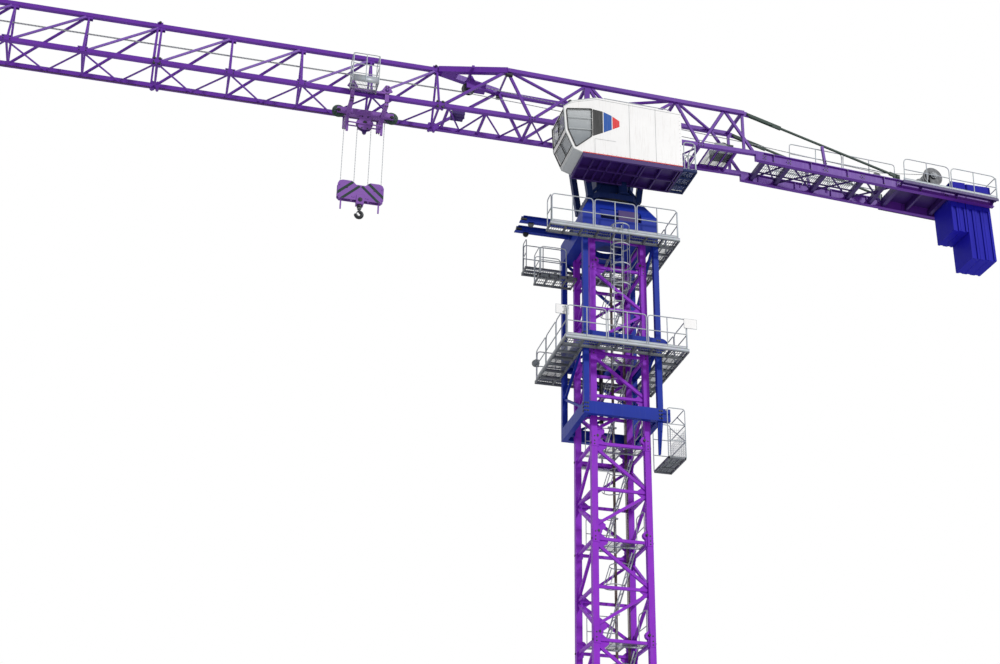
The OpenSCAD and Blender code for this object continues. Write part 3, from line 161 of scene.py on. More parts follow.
# Hot-dip galvanised steel: a dull grey zinc skin with large faint crystals and white bloom.
def galvanised(name, pale, dark):
    material, tree, surface = newMaterial(name)
    place = addNode(tree, "ShaderNodeTexCoord").outputs["Object"]
    spangle = addNode(tree, "ShaderNodeTexVoronoi", inputs={"Vector": place, "Scale": 1000 / 45})
    bloom = addNode(tree, "ShaderNodeTexNoise", inputs={"Vector": place, "Scale": 1000 / 400, "Detail": 5.0})
    tone = addNode(tree, "ShaderNodeMix", rgba, {
        0: bloom, 6: dark, 7: pale})
    crystal = addNode(tree, "ShaderNodeMix", {**rgba, "blend_type": "MULTIPLY"}, {
        0: 0.12, 6: tone.outputs[2], 7: spangle.outputs["Color"]})
    rough = addNode(tree, "ShaderNodeMapRange", inputs={
        "Value": bloom, "To Min": 0.42, "To Max": 0.62})
    setInputs(tree, surface, {
        "Base Color": crystal.outputs[2], "Roughness": rough, "Metallic": 0.35})
    return material


# Cast or rolled steel with an oily dark skin: near black, half gloss, grease holding dust.
def greasySteel(name, deep, pale, metal=0.5, rough=0.42):
    material, tree, surface = newMaterial(name)
    place = addNode(tree, "ShaderNodeTexCoord").outputs["Object"]
    grease = addNode(tree, "ShaderNodeTexNoise", inputs={"Vector": place, "Scale": 1000 / 160, "Detail": 6.0})
    tone = addNode(tree, "ShaderNodeMix", rgba, {
        0: grease, 6: deep, 7: pale})
    gloss = addNode(tree, "ShaderNodeMapRange", inputs={
        "Value": grease, "To Min": rough - 0.12, "To Max": rough + 0.2})
    bump = addNode(tree, "ShaderNodeBump", inputs={
        "Height": grease, "Strength": 0.2, "Distance": 0.002})
    setInputs(tree, surface, {
        "Base Color": tone.outputs[2], "Roughness": gloss, "Normal": bump,
        "Metallic": metal})
    return material


# Six-strand wire rope: bright steel with dark bands between the strands, painted shade of the grooves. The
# lay is drawn at 90 mm, coarser than the real 25 mm, so that it shows.
def strandedRope(name, dark, pale):
    material, tree, surface = newMaterial(name)
    place = addNode(tree, "ShaderNodeTexCoord").outputs["Object"]
    lay = addNode(tree, "ShaderNodeTexWave", {"bands_direction": "DIAGONAL"}, {
        "Vector": place, "Scale": 1000 / 90 / 2, "Distortion": 0.4})
    tone = addNode(tree, "ShaderNodeMix", rgba, {
        0: lay.outputs["Fac"], 6: dark, 7: pale})
    setInputs(tree, surface, {"Base Color": tone.outputs[2], "Metallic": 0.6, "Roughness": 0.45})
    return material


# Smoked safety glass of the cab: grey below and paler towards the top, smooth gloss.
def smokedGlass(name, dark, tint, high):
    material, tree, surface = newMaterial(name)
    place = addNode(tree, "ShaderNodeTexCoord").outputs["Object"]
    film = addNode(tree, "ShaderNodeTexNoise", inputs={"Vector": place, "Scale": 1000 / 700, "Detail": 3.0})
    tone = addNode(tree, "ShaderNodeMix", rgba, {
        0: film, 6: dark, 7: tint})
    height = addNode(tree, "ShaderNodeSeparateXYZ", inputs={"Vector": place})
    rise = addNode(tree, "ShaderNodeMapRange", inputs={
        "Value": height.outputs["Z"], "From Min": 33.3, "From Max": 34.4})
    band = addNode(tree, "ShaderNodeMix", rgba, {
        0: rise, 6: tone.outputs[2], 7: high})
    setInputs(tree, surface, {
        "Base Color": band.outputs[2], "Roughness": 0.08, "IOR": 1.52, "Transmission Weight": 0.35,
        "Alpha": 0.9})
    return material


print("stage: materials")
violetEnamel = enamelOnSteel("violetEnamelOnSteel", "#962FCE", "#7A20AE", "#8F7F98", chipMm=130, shine=0.2)
purpleEnamel = enamelOnSteel("purpleEnamelOnSteel", "#6B30A4", "#522387", "#6D6678", dust=0.16, patchMm=1200,
                             runMm=60, chipMm=110, rough=0.4, shine=0.25)
fadedEnamel = enamelOnSteel("fadedPurpleEnamelOnSteel", "#8A5CAE", "#744A9C", "#7D7488", dust=0.2,
                            patchMm=500, runMm=60, chipMm=90, rough=0.5, shine=0.25)
blueEnamel = enamelOnSteel("blueEnamelOnSteel", "#1C34A6", "#122982", "#5D6280", dust=0.12, rough=0.4,
                           shine=0.14)
navyEnamel = enamelOnSteel("navyEnamelOnSteel", "#142A66", "#0C1B44", "#4B5268", rust=0.3, patchMm=700,
                           runMm=80, rough=0.45)
ballastPaint = enamelOnSteel("blueBallastPaint", "#211EB0", "#171490", "#4A4A86", dust=0.12, rust=0.25,
                             patchMm=800, runMm=90, chipMm=140, rough=0.5, shine=0.08)
whiteEnamel = enamelOnSteel("whiteEnamelOnSheet", "#F2F1F0", "#E4E3E3", "#BDB6AE", dust=0.3, rust=0.25,
                            patchMm=1100, runMm=60, chipMm=90, rough=0.3, shine=0.5)
# a darker copy of the purple enamel at the tone of the cab floor in shade: painted shade
purpleWithPaintedShade = enamelOnSteel("purpleEnamelWithPaintedShade", "#3F2272", "#2C164E", "#5A5268", rust=0.3)
sheaveEnamel = enamelOnSteel("greenEnamelOnIron", "#2C4A3C", "#1D332A", "#5B5F58", dust=0.3, patchMm=300,
                             runMm=50, chipMm=60, rough=0.45, shine=0.5)
tieEnamel = enamelOnSteel("bottleGreenEnamelOnSteel", "#2A4239", "#1B2C26", "#5B5F58", dust=0.2, rust=0.2,
                          runMm=60, chipMm=90, shine=0.2)
sealGrey = enamelOnSteel("paleGreySheet", "#C5C9C9", "#AFB4B5", "#8F8A84", dust=0.4, rust=0.2, patchMm=700,
                         runMm=60, chipMm=80, rough=0.4, shine=0.5)
# printed film has the same dust and runs as the sheet under it, and never rusts
film = {"dust": 0.2, "rust": 0.0, "patchMm": 600, "runMm": 50, "chipMm": 60, "rough": 0.25}
blackFilm = enamelOnSteel("blackVinylFilm", "#121316", "#0A0B0D", "#4A4A4A", shine=0.5, **film)
blueFilm = enamelOnSteel("blueVinylFilm", "#1F58AC", "#174A96", "#5F6C80", **film)
redFilm = enamelOnSteel("redVinylFilm", "#DE1F26", "#C0161D", "#8C5C58", shine=0.5, **film)
zincSkin = galvanised("hotDipGalvanisedSteel", "#B9BEC4", "#8B9199")
# a darker copy of the galvanised steel: painted shade for the shaded undersides of the gratings and platform
# frames
zincWithPaintedShade = galvanised("galvanisedSteelWithPaintedShade", "#777C83", "#54585E")
darkIron = greasySteel("greasyCastIron", "#17181B", "#34363A")
motorGrey = greasySteel("greyMotorEnamel", "#5B5F63", "#7C8084", 0.1, 0.45)
pistonSteel = greasySteel("hardChromedRod", "#A9ADB2", "#D5D8DC", 1.0, 0.16)
cableRubber = greasySteel("brownCableRubber", "#3A2A22", "#57443A", 0.0, 0.6)
rubberSeal = greasySteel("blackRubberSeal", "#141516", "#26282A", 0.0, 0.6)
ropeSteel = strandedRope("sixStrandWireRope", "#7E8185", "#AEB1B5")
cabGlass = smokedGlass("smokedSafetyGlass", "#8A9298", "#B4BABF", "#DDE1E3")

dress = {
    violetEnamel: ["base_frame", "mast_near_side", "mast_far_side", "mast_left_side", "mast_right_side"],
    purpleEnamel: ["head_near_side", "head_far_side", "head_top_bracing", "head_walkway", "top_fork",
                   "jib_top_chord", "jib_near_side", "jib_far_side", "jib_bottom_bracing", "jib_tip",
                   "counter_beams"],
    fadedEnamel: ["trolley_frame", "hook_block"],
    purpleWithPaintedShade: ["cab_floor", "counter_deck"],
    tieEnamel: ["counter_ties"],
    blueEnamel: ["cage_near_frame", "cage_far_frame", "cage_left_frame", "cage_right_frame",
                 "cage_guides", "feed_beams", "slewing_support"],
    navyEnamel: ["turntable", "cab_walkway"],
    ballastPaint: ["short_slabs", "long_slabs"],
    zincSkin: ["mast_ladders", "upper_platform", "upper_rails", "lower_platform", "lower_rails",
               "access_baskets", "counter_rails", "trolley_basket"],
    motorGrey: ["rail_boxes", "trolley_winch"],
    darkIron: ["slewing_ring", "hoist_winch", "hook", "climb_cylinder"],
    pistonSteel: ["climb_rod"],
    cableRubber: ["power_cable"],
    whiteEnamel: ["cab_house"],
    cabGlass: ["cab_windows"],
    sheaveEnamel: ["trolley_wheels"],
    ropeSteel: ["rope_falls"],
}
for finish, names in dress.items():
    for nodeName in names:
        data = nodes[nodeName].data
        data.materials.clear()
        data.materials.append(finish)

makeCamera()


def addPiece(name, mesh, body):
    piece = bpy.data.objects.new(name, mesh)
    bpy.context.scene.collection.objects.link(piece)
    if body:
        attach(piece, body)
    return piece


def circle(radius, count, start=0.0):
    turns = [start + 2 * math.pi * i / count for i in range(count)]
    return [(radius * math.cos(turn), radius * math.sin(turn)) for turn in turns]


def addPrism(form, outline, place, across, upward, depth):
    across, upward = Vector(across).normalized(), Vector(upward).normalized()
    out = across.cross(upward) * depth
    low = [form.verts.new(Vector(place) + across * a + upward * b) for a, b in outline]
    high = [form.verts.new(v.co + out) for v in low]
    form.faces.new(low)
    form.faces.new(high)
    for i, v in enumerate(low):
        j = (i + 1) % len(low)
        form.faces.new((v, low[j], high[j], high[i]))


def addBox(form, low, high):
    wide, deep = high[0] - low[0], high[1] - low[1]
    addPrism(form, [(0, 0), (wide, 0), (wide, deep), (0, deep)], low, alongX, alongY, high[2] - low[2])


def addDisc(form, centre, axis, radius, depth, sides=24):
    axis = Vector(axis).normalized()
    across = axis.orthogonal().normalized()
    low = Vector(centre) - axis * depth / 2
    addPrism(form, circle(radius, sides), low, across, axis.cross(across), depth)


# one piece made of boxes, discs and prisms, leaning if asked, with its edges softened
def solids(name, finish, body, bevel=0.0, boxes=(), discs=(), prisms=(), lean=None):
    form = bmesh.new()
    for addShape, shapes in ((addBox, boxes), (addDisc, discs), (addPrism, prisms)):
        for shape in shapes:
            addShape(form, *shape)
    if lean is not None:
        form.transform(lean)
    bmesh.ops.recalc_face_normals(form, faces=form.faces)
    mesh = bpy.data.meshes.new(name)
    form.to_mesh(mesh)
    form.free()
    mesh.materials.append(finish)
    piece = addPiece(name, mesh, body)
    if bevel:
        edge = piece.modifiers.new("softEdge", "BEVEL")
        edge.width, edge.segments, edge.limit_method = bevel, 2, "ANGLE"
    return piece


def lineGuide(name, lines):
    points, edges = [], []
    for line in lines:
        first = len(points)
        points += [tuple(p) for p in line]
        edges += [(first + i, first + i + 1) for i in range(len(line) - 1)]
    mesh = bpy.data.meshes.new(name)
    mesh.from_pydata(points, edges, [])
    return mesh


def pointGuide(name, spots):
    mesh = bpy.data.meshes.new(name)
    mesh.from_pydata([tuple(place) for place, facing in spots], [], [])
    mark = mesh.attributes.new("facing", "FLOAT_VECTOR", "POINT")
    for i, (place, facing) in enumerate(spots):
        mark.data[i].vector = facing
    return mesh


# spots on the two faces that lie reach to either side of the middle, each facing out
def facePairs(reach, places):
    return [((x, s * reach, z), (0, s, 0)) for x, z in places for s in bothWays]


# a path with its corners rounded off
def rounded(points, radius, steps=4):
    points = [Vector(p) for p in points]
    path = [points[0]]
    for before, corner, after in zip(points, points[1:], points[2:]):
        reach = min(radius, (before - corner).length / 2, (after - corner).length / 2)
        a = corner + (before - corner).normalized() * reach
        b = corner + (after - corner).normalized() * reach
        shares = [i / steps for i in range(steps + 1)]
        path += [a * (1 - t) ** 2 + corner * 2 * t * (1 - t) + b * t * t for t in shares]
    return path + [points[-1]]


# hand rail panels from a to b: each a bent hoop with a knee rail
def railPanels(a, b, high, count, gap=0.06, bend=0.12):
    a, b = Vector(a), Vector(b)
    up = Vector((0, 0, high))
    lines = []
    for i in range(count):
        p = a + (b - a) * (i / count)
        q = a + (b - a) * ((i + 1) / count)
        inset = (q - p).normalized() * gap / 2
        p, q = p + inset, q - inset
        lines += [rounded([p, p + up, q + up, q], bend), [p + up * 0.5, q + up * 0.5]]
        if (q - p).length > 1.3:
            lines.append([(p + q) / 2, (p + q) / 2 + up])
    return lines


# a level line from u to v across one axis, 0 for x and 1 for y, at one place on that axis
def levelLine(way, at, u, v, level):
    ends = [[0, 0, level], [0, 0, level]]
    for end, value in zip(ends, (u, v)):
        end[way], end[1 - way] = at, value
    return ends


# bearing bars across a strip and round rods along it, cut out round a hatch
def gratingLines(low, high, level, along, pitch=0.055, hatch=None):
    lines = []
    for way, step in ((along, pitch), (1 - along, 0.22)):
        count = max(2, round((high[way] - low[way]) / step))
        for i in range(1, count):
            at = low[way] + (high[way] - low[way]) * i / count
            spans = [(low[1 - way], high[1 - way])]
            if hatch and hatch[0][way] < at < hatch[1][way]:
                spans = [(low[1 - way], hatch[0][1 - way]), (hatch[1][1 - way], high[1 - way])]
            lines += [levelLine(way, at, u, v, level) for u, v in spans]
    return lines


# the frame under a grating: two long bars at its edges and cross bars between them
def frameLines(low, high, level, along, pitch=0.62, lip=0.02):
    across = 1 - along
    edges = (low[across] + lip, high[across] - lip)
    lines = [levelLine(across, at, low[along], high[along], level) for at in edges]
    reach = high[along] - low[along] - 2 * lip
    count = math.ceil(reach / pitch)
    places = [low[along] + lip + reach * i / count for i in range(count + 1)]
    return lines + [levelLine(along, at, low[across], high[across], level) for at in places]


# a tree whose inputs are a mesh, the named sizes and a finish
socketKinds = {float: "NodeSocketFloat", int: "NodeSocketInt", tuple: "NodeSocketVector"}


def newTree(name, sizes):
    tree = bpy.data.node_groups.new(name, "GeometryNodeTree")
    tree.interface.new_socket("Geometry", in_out="INPUT", socket_type="NodeSocketGeometry")
    tree.interface.new_socket("Geometry", in_out="OUTPUT", socket_type="NodeSocketGeometry")
    for label, value in sizes.items():
        socket = tree.interface.new_socket(label, in_out="INPUT", socket_type=socketKinds[type(value)])
        socket.default_value = value
    tree.interface.new_socket("Finish", in_out="INPUT", socket_type="NodeSocketMaterial")
    return tree, addNode(tree, "NodeGroupInput")


def endTree(tree, shape, entry):
    plain = addNode(tree, "GeometryNodeRealizeInstances", inputs={0: shape})
    dressed = addNode(tree, "GeometryNodeSetMaterial", inputs={
        "Geometry": plain, "Material": entry.outputs["Finish"]})
    addNode(tree, "NodeGroupOutput", inputs={0: dressed})
    return tree


def makePipeTree():
    tree, entry = newTree("pipesAlongEdges", {"Radius": 0.02, "Sides": 8})
    path = addNode(tree, "GeometryNodeMeshToCurve", inputs={0: entry.outputs["Geometry"]})
    ring = addNode(tree, "GeometryNodeCurvePrimitiveCircle", inputs={
        "Resolution": entry.outputs["Sides"], "Radius": entry.outputs["Radius"]})
    tube = addNode(tree, "GeometryNodeCurveToMesh", inputs={
        "Curve": path, "Profile Curve": ring, "Fill Caps": True})
    return endTree(tree, tube, entry)


def makeBarTree():
    tree, entry = newTree("flatBarsAlongEdges", {"Thick": 0.01, "Deep": 0.05})
    path = addNode(tree, "GeometryNodeMeshToCurve", inputs={0: entry.outputs["Geometry"]})
    upright = addNode(tree, "GeometryNodeSetCurveNormal", {"mode": "Z_UP"}, {"Curve": path})
    section = addNode(tree, "GeometryNodeCurvePrimitiveQuadrilateral", inputs={
        "Width": entry.outputs["Thick"], "Height": entry.outputs["Deep"]})
    strips = addNode(tree, "GeometryNodeCurveToMesh", inputs={
        "Curve": upright, "Profile Curve": section, "Fill Caps": True})
    return endTree(tree, strips, entry)


def makeBoltTree():
    tree, entry = newTree("boltsOnPoints", {"Radius": 0.02, "Height": 0.02, "Sides": 6})
    sides, radius, height = (entry.outputs[label] for label in ("Sides", "Radius", "Height"))
    head = addNode(tree, "GeometryNodeMeshCylinder", inputs={
        "Vertices": sides, "Radius": radius, "Depth": height})
    wide = addNode(tree, "ShaderNodeMath", {"operation": "MULTIPLY"}, {0: radius, 1: 1.45})
    thin = addNode(tree, "ShaderNodeMath", {"operation": "MULTIPLY"}, {0: height, 1: 0.35})
    washer = addNode(tree, "GeometryNodeMeshCylinder", inputs={
        "Vertices": 12, "Radius": wide, "Depth": thin})
    both = addNode(tree, "GeometryNodeJoinGeometry")
    for part in (head, washer):
        setInputs(tree, both, {0: part})
    facing = addNode(tree, "GeometryNodeInputNamedAttribute", {"data_type": "FLOAT_VECTOR"}, {
        "Name": "facing"})
    turn = addNode(tree, "FunctionNodeAlignRotationToVector", {"axis": "Z"}, {"Vector": facing})
    placed = addNode(tree, "GeometryNodeInstanceOnPoints", inputs={
        "Points": entry.outputs["Geometry"], "Instance": both, "Rotation": turn})
    return endTree(tree, placed, entry)


def makePlateTree():
    tree, entry = newTree("platesOnPoints", {"Plate": (0.1, 0.1, 0.1)})
    plate = addNode(tree, "GeometryNodeMeshCube", inputs={"Size": entry.outputs["Plate"]})
    placed = addNode(tree, "GeometryNodeInstanceOnPoints", inputs={
        "Points": entry.outputs["Geometry"], "Instance": plate})
    return endTree(tree, placed, entry)


def makeToothTree():
    tree, entry = newTree("teethRoundRing", {
        "Count": 90, "Ring Radius": 0.9, "Tooth": (0.05, 0.02, 0.08), "Level": 0.0})
    rim = addNode(tree, "GeometryNodeMeshCircle", inputs={
        "Vertices": entry.outputs["Count"], "Radius": entry.outputs["Ring Radius"]})
    place = addNode(tree, "GeometryNodeInputPosition")
    turn = addNode(tree, "FunctionNodeAlignRotationToVector", {"axis": "X"}, {"Vector": place})
    tooth = addNode(tree, "GeometryNodeMeshCube", inputs={"Size": entry.outputs["Tooth"]})
    placed = addNode(tree, "GeometryNodeInstanceOnPoints", inputs={
        "Points": rim, "Instance": tooth, "Rotation": turn})
    lift = addNode(tree, "ShaderNodeCombineXYZ", inputs={"Z": entry.outputs["Level"]})
    moved = addNode(tree, "GeometryNodeTransform", inputs={
        "Geometry": placed, "Translation": lift})
    return endTree(tree, moved, entry)


pipeTree, barTree, boltTree = makePipeTree(), makeBarTree(), makeBoltTree()
plateTree, toothTree = makePlateTree(), makeToothTree()


# runs a tree on a guide mesh and keeps the result as a plain mesh
def growPiece(name, guide, tree, sizes, finish, body):
    draft = bpy.data.objects.new(name + "Draft", guide)
    bpy.context.scene.collection.objects.link(draft)
    grower = draft.modifiers.new("grow", "NODES")
    grower.node_group = tree
    values = {**sizes, "Finish": finish}
    for item in tree.interface.items_tree:
        if item.item_type == "SOCKET" and item.in_out == "INPUT" and item.name in values:
            grower[item.identifier] = values[item.name]
    view = bpy.context.evaluated_depsgraph_get()
    mesh = bpy.data.meshes.new_from_object(draft.evaluated_get(view))
    bpy.data.objects.remove(draft)
    mesh.name = name
    return addPiece(name, mesh, body)


def pipes(name, lines, radius, finish, body, sides=8):
    guide = lineGuide(name + "Guide", lines)
    piece = growPiece(name, guide, pipeTree, {"Radius": radius, "Sides": sides}, finish, body)
    piece.data.shade_smooth()
    piece.data.set_sharp_from_angle(angle=math.radians(50))
    return piece


def bars(name, lines, thick, deep, finish, body):
    guide = lineGuide(name + "Guide", lines)
    return growPiece(name, guide, barTree, {"Thick": thick, "Deep": deep}, finish, body)


def bolts(name, spots, radius, height, finish, body, sides=6):
    sizes = {"Radius": radius, "Height": height, "Sides": sides}
    return growPiece(name, pointGuide(name + "Guide", spots), boltTree, sizes, finish, body)


def plates(name, places, size, finish, body):
    guide = pointGuide(name + "Guide", [(place, alongZ) for place in places])
    return growPiece(name, guide, plateTree, {"Plate": size}, finish, body)


# mast
print("stage: mast")
mastLook = {
    "pinRadius": 0.036, "pinDepth": 0.07, "hoopReach": 0.65, "hoopHalf": 0.35, "hoops": (1.95, 2.65),
    "railHigh": 1.05, "pipe": 0.016, "lean": 1.0, "footX": -0.25, "ladderY": 0.18, "ladderHalf": 0.2,
    "belowJoint": 0.165, "rungPitch": 0.29,
}
jointLevels = [site["footHigh"] + site["sectionHigh"] * k for k in range(1, site["sections"] + 1)]


def dressMast():
    look, half, mid = mastLook, site["halfMast"], mastLook["ladderY"]
    pins, collars, wedges, hoops, strips, rails = [], [], [], [], [], []
    for z in jointLevels:
        for sx, sy in corners:
            pins += [((sx * 0.8, sy * 0.985, z), (0, sy, 0)), ((sx * 0.985, sy * 0.93, z - 0.25), (sx, 0, 0))]
            collars.append((sx * half, sy * 1.003, z - 0.11))
            wedges += [((sx * half, sy * 1.01, z - h), (0, sy, 0)) for h in (0.03, 0.19, 0.3)]
        low = z - look["belowJoint"]
        rails += railPanels((-0.8, 0.44, low), (0.24, 0.44, low), look["railHigh"], 1)
        rails += railPanels((0.8, -0.76, low), (0.8, 0.05, low), look["railHigh"], 1)
        if z > site["mastTop"] - 1.5:
            continue
        ends = []
        for high in look["hoops"]:
            x = look["footX"] + look["lean"] * high / site["sectionHigh"]
            bend = [(x, mid - look["ladderHalf"], low + high)]
            for i in range(11):
                turn = math.pi * i / 10
                bend.append((x - 0.3 - math.sin(turn) * (look["hoopReach"] - 0.3),
                             mid - math.cos(turn) * look["hoopHalf"], low + high))
            bend.append((x, mid + look["ladderHalf"], low + high))
            hoops.append(bend)
            ends.append([bend[3], bend[6], bend[9]])
        strips += [[a, b] for a, b in zip(*ends)]
    bolts("mastJointPins", pins, look["pinRadius"], look["pinDepth"], darkIron, mast, 16)
    plates("mastJointPlates", collars, (0.17, 0.016, 0.52), violetEnamel, mast)
    bolts("mastJointBolts", wedges, 0.017, 0.03, darkIron, mast)
    bars("ladderHoops", hoops, 0.006, 0.032, zincSkin, mast)
    bars("ladderHoopStrips", strips, 0.006, 0.028, zincSkin, mast)
    pipes("landingRails", rails, look["pipe"], zincSkin, mast)
    cables = [[(0.70 + 0.035 * i, 0.77, 0.4), (0.70 + 0.035 * i, 0.77, 30.0)] for i in range(3)]
    pipes("risingCables", cables, 0.014, cableRubber, mast, 6)
    plates("cableClips", [(0.29, 0.83, z + 1.1) for z in jointLevels[:-1]], (0.3, 0.07, 0.05), zincSkin, mast)
    nuts = [((sx * half + i * 0.17, sy * half + j * 0.17, 0.075), alongZ)
            for sx, sy in corners for i, j in corners]
    bolts("baseNuts", nuts, 0.03, 0.05, darkIron, mast)


# landings and leaning ladders, drawn open as the real gratings are
def makeLadders():
    look, foot, mid = mastLook, mastLook["footX"], mastLook["ladderY"]
    half, pitch, slope = look["ladderHalf"], look["rungPitch"], look["lean"] / site["sectionHigh"]
    grating, frames, stringers, rungs = [], [], [], []
    tops = [z - look["belowJoint"] for z in jointLevels]
    for top in tops:
        for low, high in (((-0.86, -0.80), (0.86, -0.10)), ((-0.86, -0.10), (0.28, 0.46))):
            grating += gratingLines(low, high, top - 0.012, 1, 0.115)
            frames += frameLines(low, high, top - 0.022, 0, 0.9)
    levels = [0.25] + tops + [30.24]
    for low, high in zip(levels, levels[1:]):
        end = foot + slope * (high - low)
        stringers += [[(foot, mid + s * half, low + 0.01), (end, mid + s * half, high)] for s in bothWays]
        for i in range(1, int((high - low - 0.06) / pitch) + 1):
            x, z = foot + slope * i * pitch, low + pitch * i
            rungs.append([(x, mid - half, z), (x, mid + half, z)])
    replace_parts(bars("landingGratings", grating, 0.005, 0.02, zincWithPaintedShade, mast), "mast_ladders")
    bars("landingFrames", frames, 0.03, 0.045, zincSkin, mast)
    bars("ladderStringers", stringers, 0.022, 0.045, zincSkin, mast)
    pipes("ladderRungs", rungs, 0.014, zincSkin, mast, 6)


dressMast()
makeLadders()

# climbing cage
print("stage: cage")
cageLook = {"floorTop": {"upper": 30.13, "lower": 26.0}, "pitch": 0.08, "railHigh": 1.1, "pipe": 0.019,
            "railY": 1.88}
# per strip: its low and high corner, the axis of its bearing bars and the hatch in it
deckPlans = {
    "upper": [((-2.64, -1.92), (1.92, -1.36), 0, ((-0.42, -1.88), (0.30, -1.40))),
              ((-2.64, 1.36), (1.92, 1.92), 0, None), ((1.36, -1.36), (1.92, 1.36), 1, None)],
    "lower": [((-2.12, -1.92), (2.10, -1.36), 0, None), ((-2.12, 1.36), (2.10, 1.92), 0, None),
              ((1.36, -1.36), (2.10, 1.36), 1, None), ((-2.12, -1.36), (-1.36, 1.36), 1, None)],
}


def dressPlatform(name, strips, top):
    grating, frames = [], []
    for low, high, along, hatch in strips:
        grating += gratingLines(low, high, top - 0.018, along, cageLook["pitch"], hatch)
        frames += frameLines(low, high, top - 0.07, along)
    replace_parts(bars(name + "Grating", grating, 0.006, 0.026, zincWithPaintedShade, cage), name + "_platform")
    bars(name + "PlatformFrame", frames, 0.045, 0.1, zincWithPaintedShade, cage)


def dressRails(name, x0, x1, level, leftOpen):
    y, high = cageLook["railY"], cageLook["railHigh"]
    sides = [((x0, s * y), (x1, s * y)) for s in bothWays] + [((x1, -y), (x1, y))]
    if not leftOpen:
        sides.append(((x0, -y), (x0, y)))
    lines, boards = [], []
    for a, b in sides:
        lines += railPanels((*a, level), (*b, level), high, 3)
        boards.append([(*a, level + 0.06), (*b, level + 0.06)])
    if leftOpen:
        for s in bothWays:
            lines += railPanels((x0, s * y, level), (x0, s * 1.36, level), high, 1)
    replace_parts(pipes(name + "RailPipes", lines, cageLook["pipe"], zincSkin, cage), name + "_rails")
    bars(name + "ToeBoards", boards, 0.006, 0.11, zincSkin, cage)


# the side landing, the service basket and the caged ladder, which are one node in the CAD
accessLook = {
    "sideLow": (-2.60, -0.40), "sideHigh": (-1.26, 0.40), "sideTop": 28.96,
    "basket": (1.40, 2.0, -1.53, -0.12), "low": 22.32, "top": 24.01,
    "ladderX": (-0.31, -0.01), "ladderY": -1.46, "hoopLevels": (28.09, 28.84, 29.59, 30.34),
}


def makeAccess():
    look, low, top = accessLook, accessLook["low"], accessLook["top"]
    x0, x1, y0, y1 = look["basket"]
    left, right = look["ladderX"]
    sideLow, sideHigh, sideTop, ladderY = look["sideLow"], look["sideHigh"], look["sideTop"], look["ladderY"]
    grating = gratingLines(sideLow, sideHigh, sideTop - 0.016, 0, 0.07)
    grating += gratingLines((x0, y0), (x1, y1), low, 1, 0.06)
    frames = frameLines(sideLow, sideHigh, sideTop - 0.06, 0, 0.33)
    frames += frameLines((x0, y0), (x1, y1), low - 0.02, 1, 0.5)
    lines = [[(x, ladderY, 25.98), (x, ladderY, 30.6)] for x in (left, right)]
    lines += [[(x, ladderY, 25.97 + 0.29 * i) for x in (left, right)] for i in range(1, 16)]
    for s in bothWays:
        lines += railPanels((-2.58, s * 0.38, sideTop), (-1.62, s * 0.38, sideTop), 1.04, 1)
    lines += railPanels((-2.58, -0.38, sideTop), (-2.58, 0.38, sideTop), 1.04, 1)
    third = (top - low) / 3
    for y in (y0, y1):
        lines.append(rounded([(x0, y, low), (x0, y, top), (x1, y, top), (x1, y, low)], 0.1))
        lines += [[(x0, y, low + third * i), (x1, y, low + third * i)] for i in (1, 2)]
        lines.append([(1.34, y, top - 0.1), (x0 + 0.02, y, top - 0.1)])
    outer = [((y0 + 0.1, top), (y1 - 0.1, top)), ((y0, low + third), (y1, low + third)),
             ((y0, low + 2 * third), (y1, low + 2 * third)), ((y0, low + 2 * third), ((y0 + y1) / 2, top)),
             ((y0, low + third), (y1, top - 0.1)), ((y0, low), (y1, low + third))]
    lines += [[(x1, *a), (x1, *b)] for a, b in outer]
    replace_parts(pipes("accessPipes", lines, 0.017, zincSkin, cage), "access_baskets")
    bars("accessGratings", grating, 0.006, 0.026, zincWithPaintedShade, cage)
    bars("accessFrames", frames, 0.04, 0.08, zincWithPaintedShade, cage)
    turns = [math.radians(-152 + 304 * i / 16) for i in range(17)]
    bend = [(-0.16 + 0.32 * math.sin(turn), -1.75 - 0.32 * math.cos(turn)) for turn in turns]
    bend = [(left, ladderY)] + bend + [(right, ladderY)]
    levels = look["hoopLevels"]
    bars("cagedLadderHoops", [[(*spot, z) for spot in bend] for z in levels], 0.006, 0.045, zincSkin, cage)
    ties = [[(*bend[i], levels[0]), (*bend[i], levels[-1])] for i in (3, 6, 9, 12, 15)]
    bars("cagedLadderStrips", ties, 0.006, 0.035, zincSkin, cage)
    rims = []
    for name, strips in deckPlans.items():
        level, start, end = cageLook["floorTop"][name] - 0.05, strips[0][0][0], strips[0][1][0]
        rims += [[(start, s * 1.925, level), (end, s * 1.925, level)] for s in bothWays]
        rims.append([(end + 0.004, -1.92, level), (end + 0.004, 1.92, level)])
    bars("platformRims", rims, 0.006, 0.12, zincSkin, cage)


# wire mesh on the outer and the near face of the service basket
def makeBasketMesh():
    x0, x1, y0, y1 = accessLook["basket"]
    low, high = 22.34, 23.3
    mesh = [[(x1, y, low), (x1, y, high)] for y in (y0 + 1.40 * i / 23 for i in range(24))]
    for z in (22.36 + 0.08 * i for i in range(12)):
        mesh += [[(x1, y0, z), (x1, y1, z)], [(x0 + 0.01, y0, z), (x1, y0, z)]]
    mesh += [[(x, y0, low), (x, y0, high)] for x in (x0 + 0.02 + 0.57 * i / 8 for i in range(9))]
    pipes("basketMesh", mesh, 0.004, zincSkin, cage, 4)


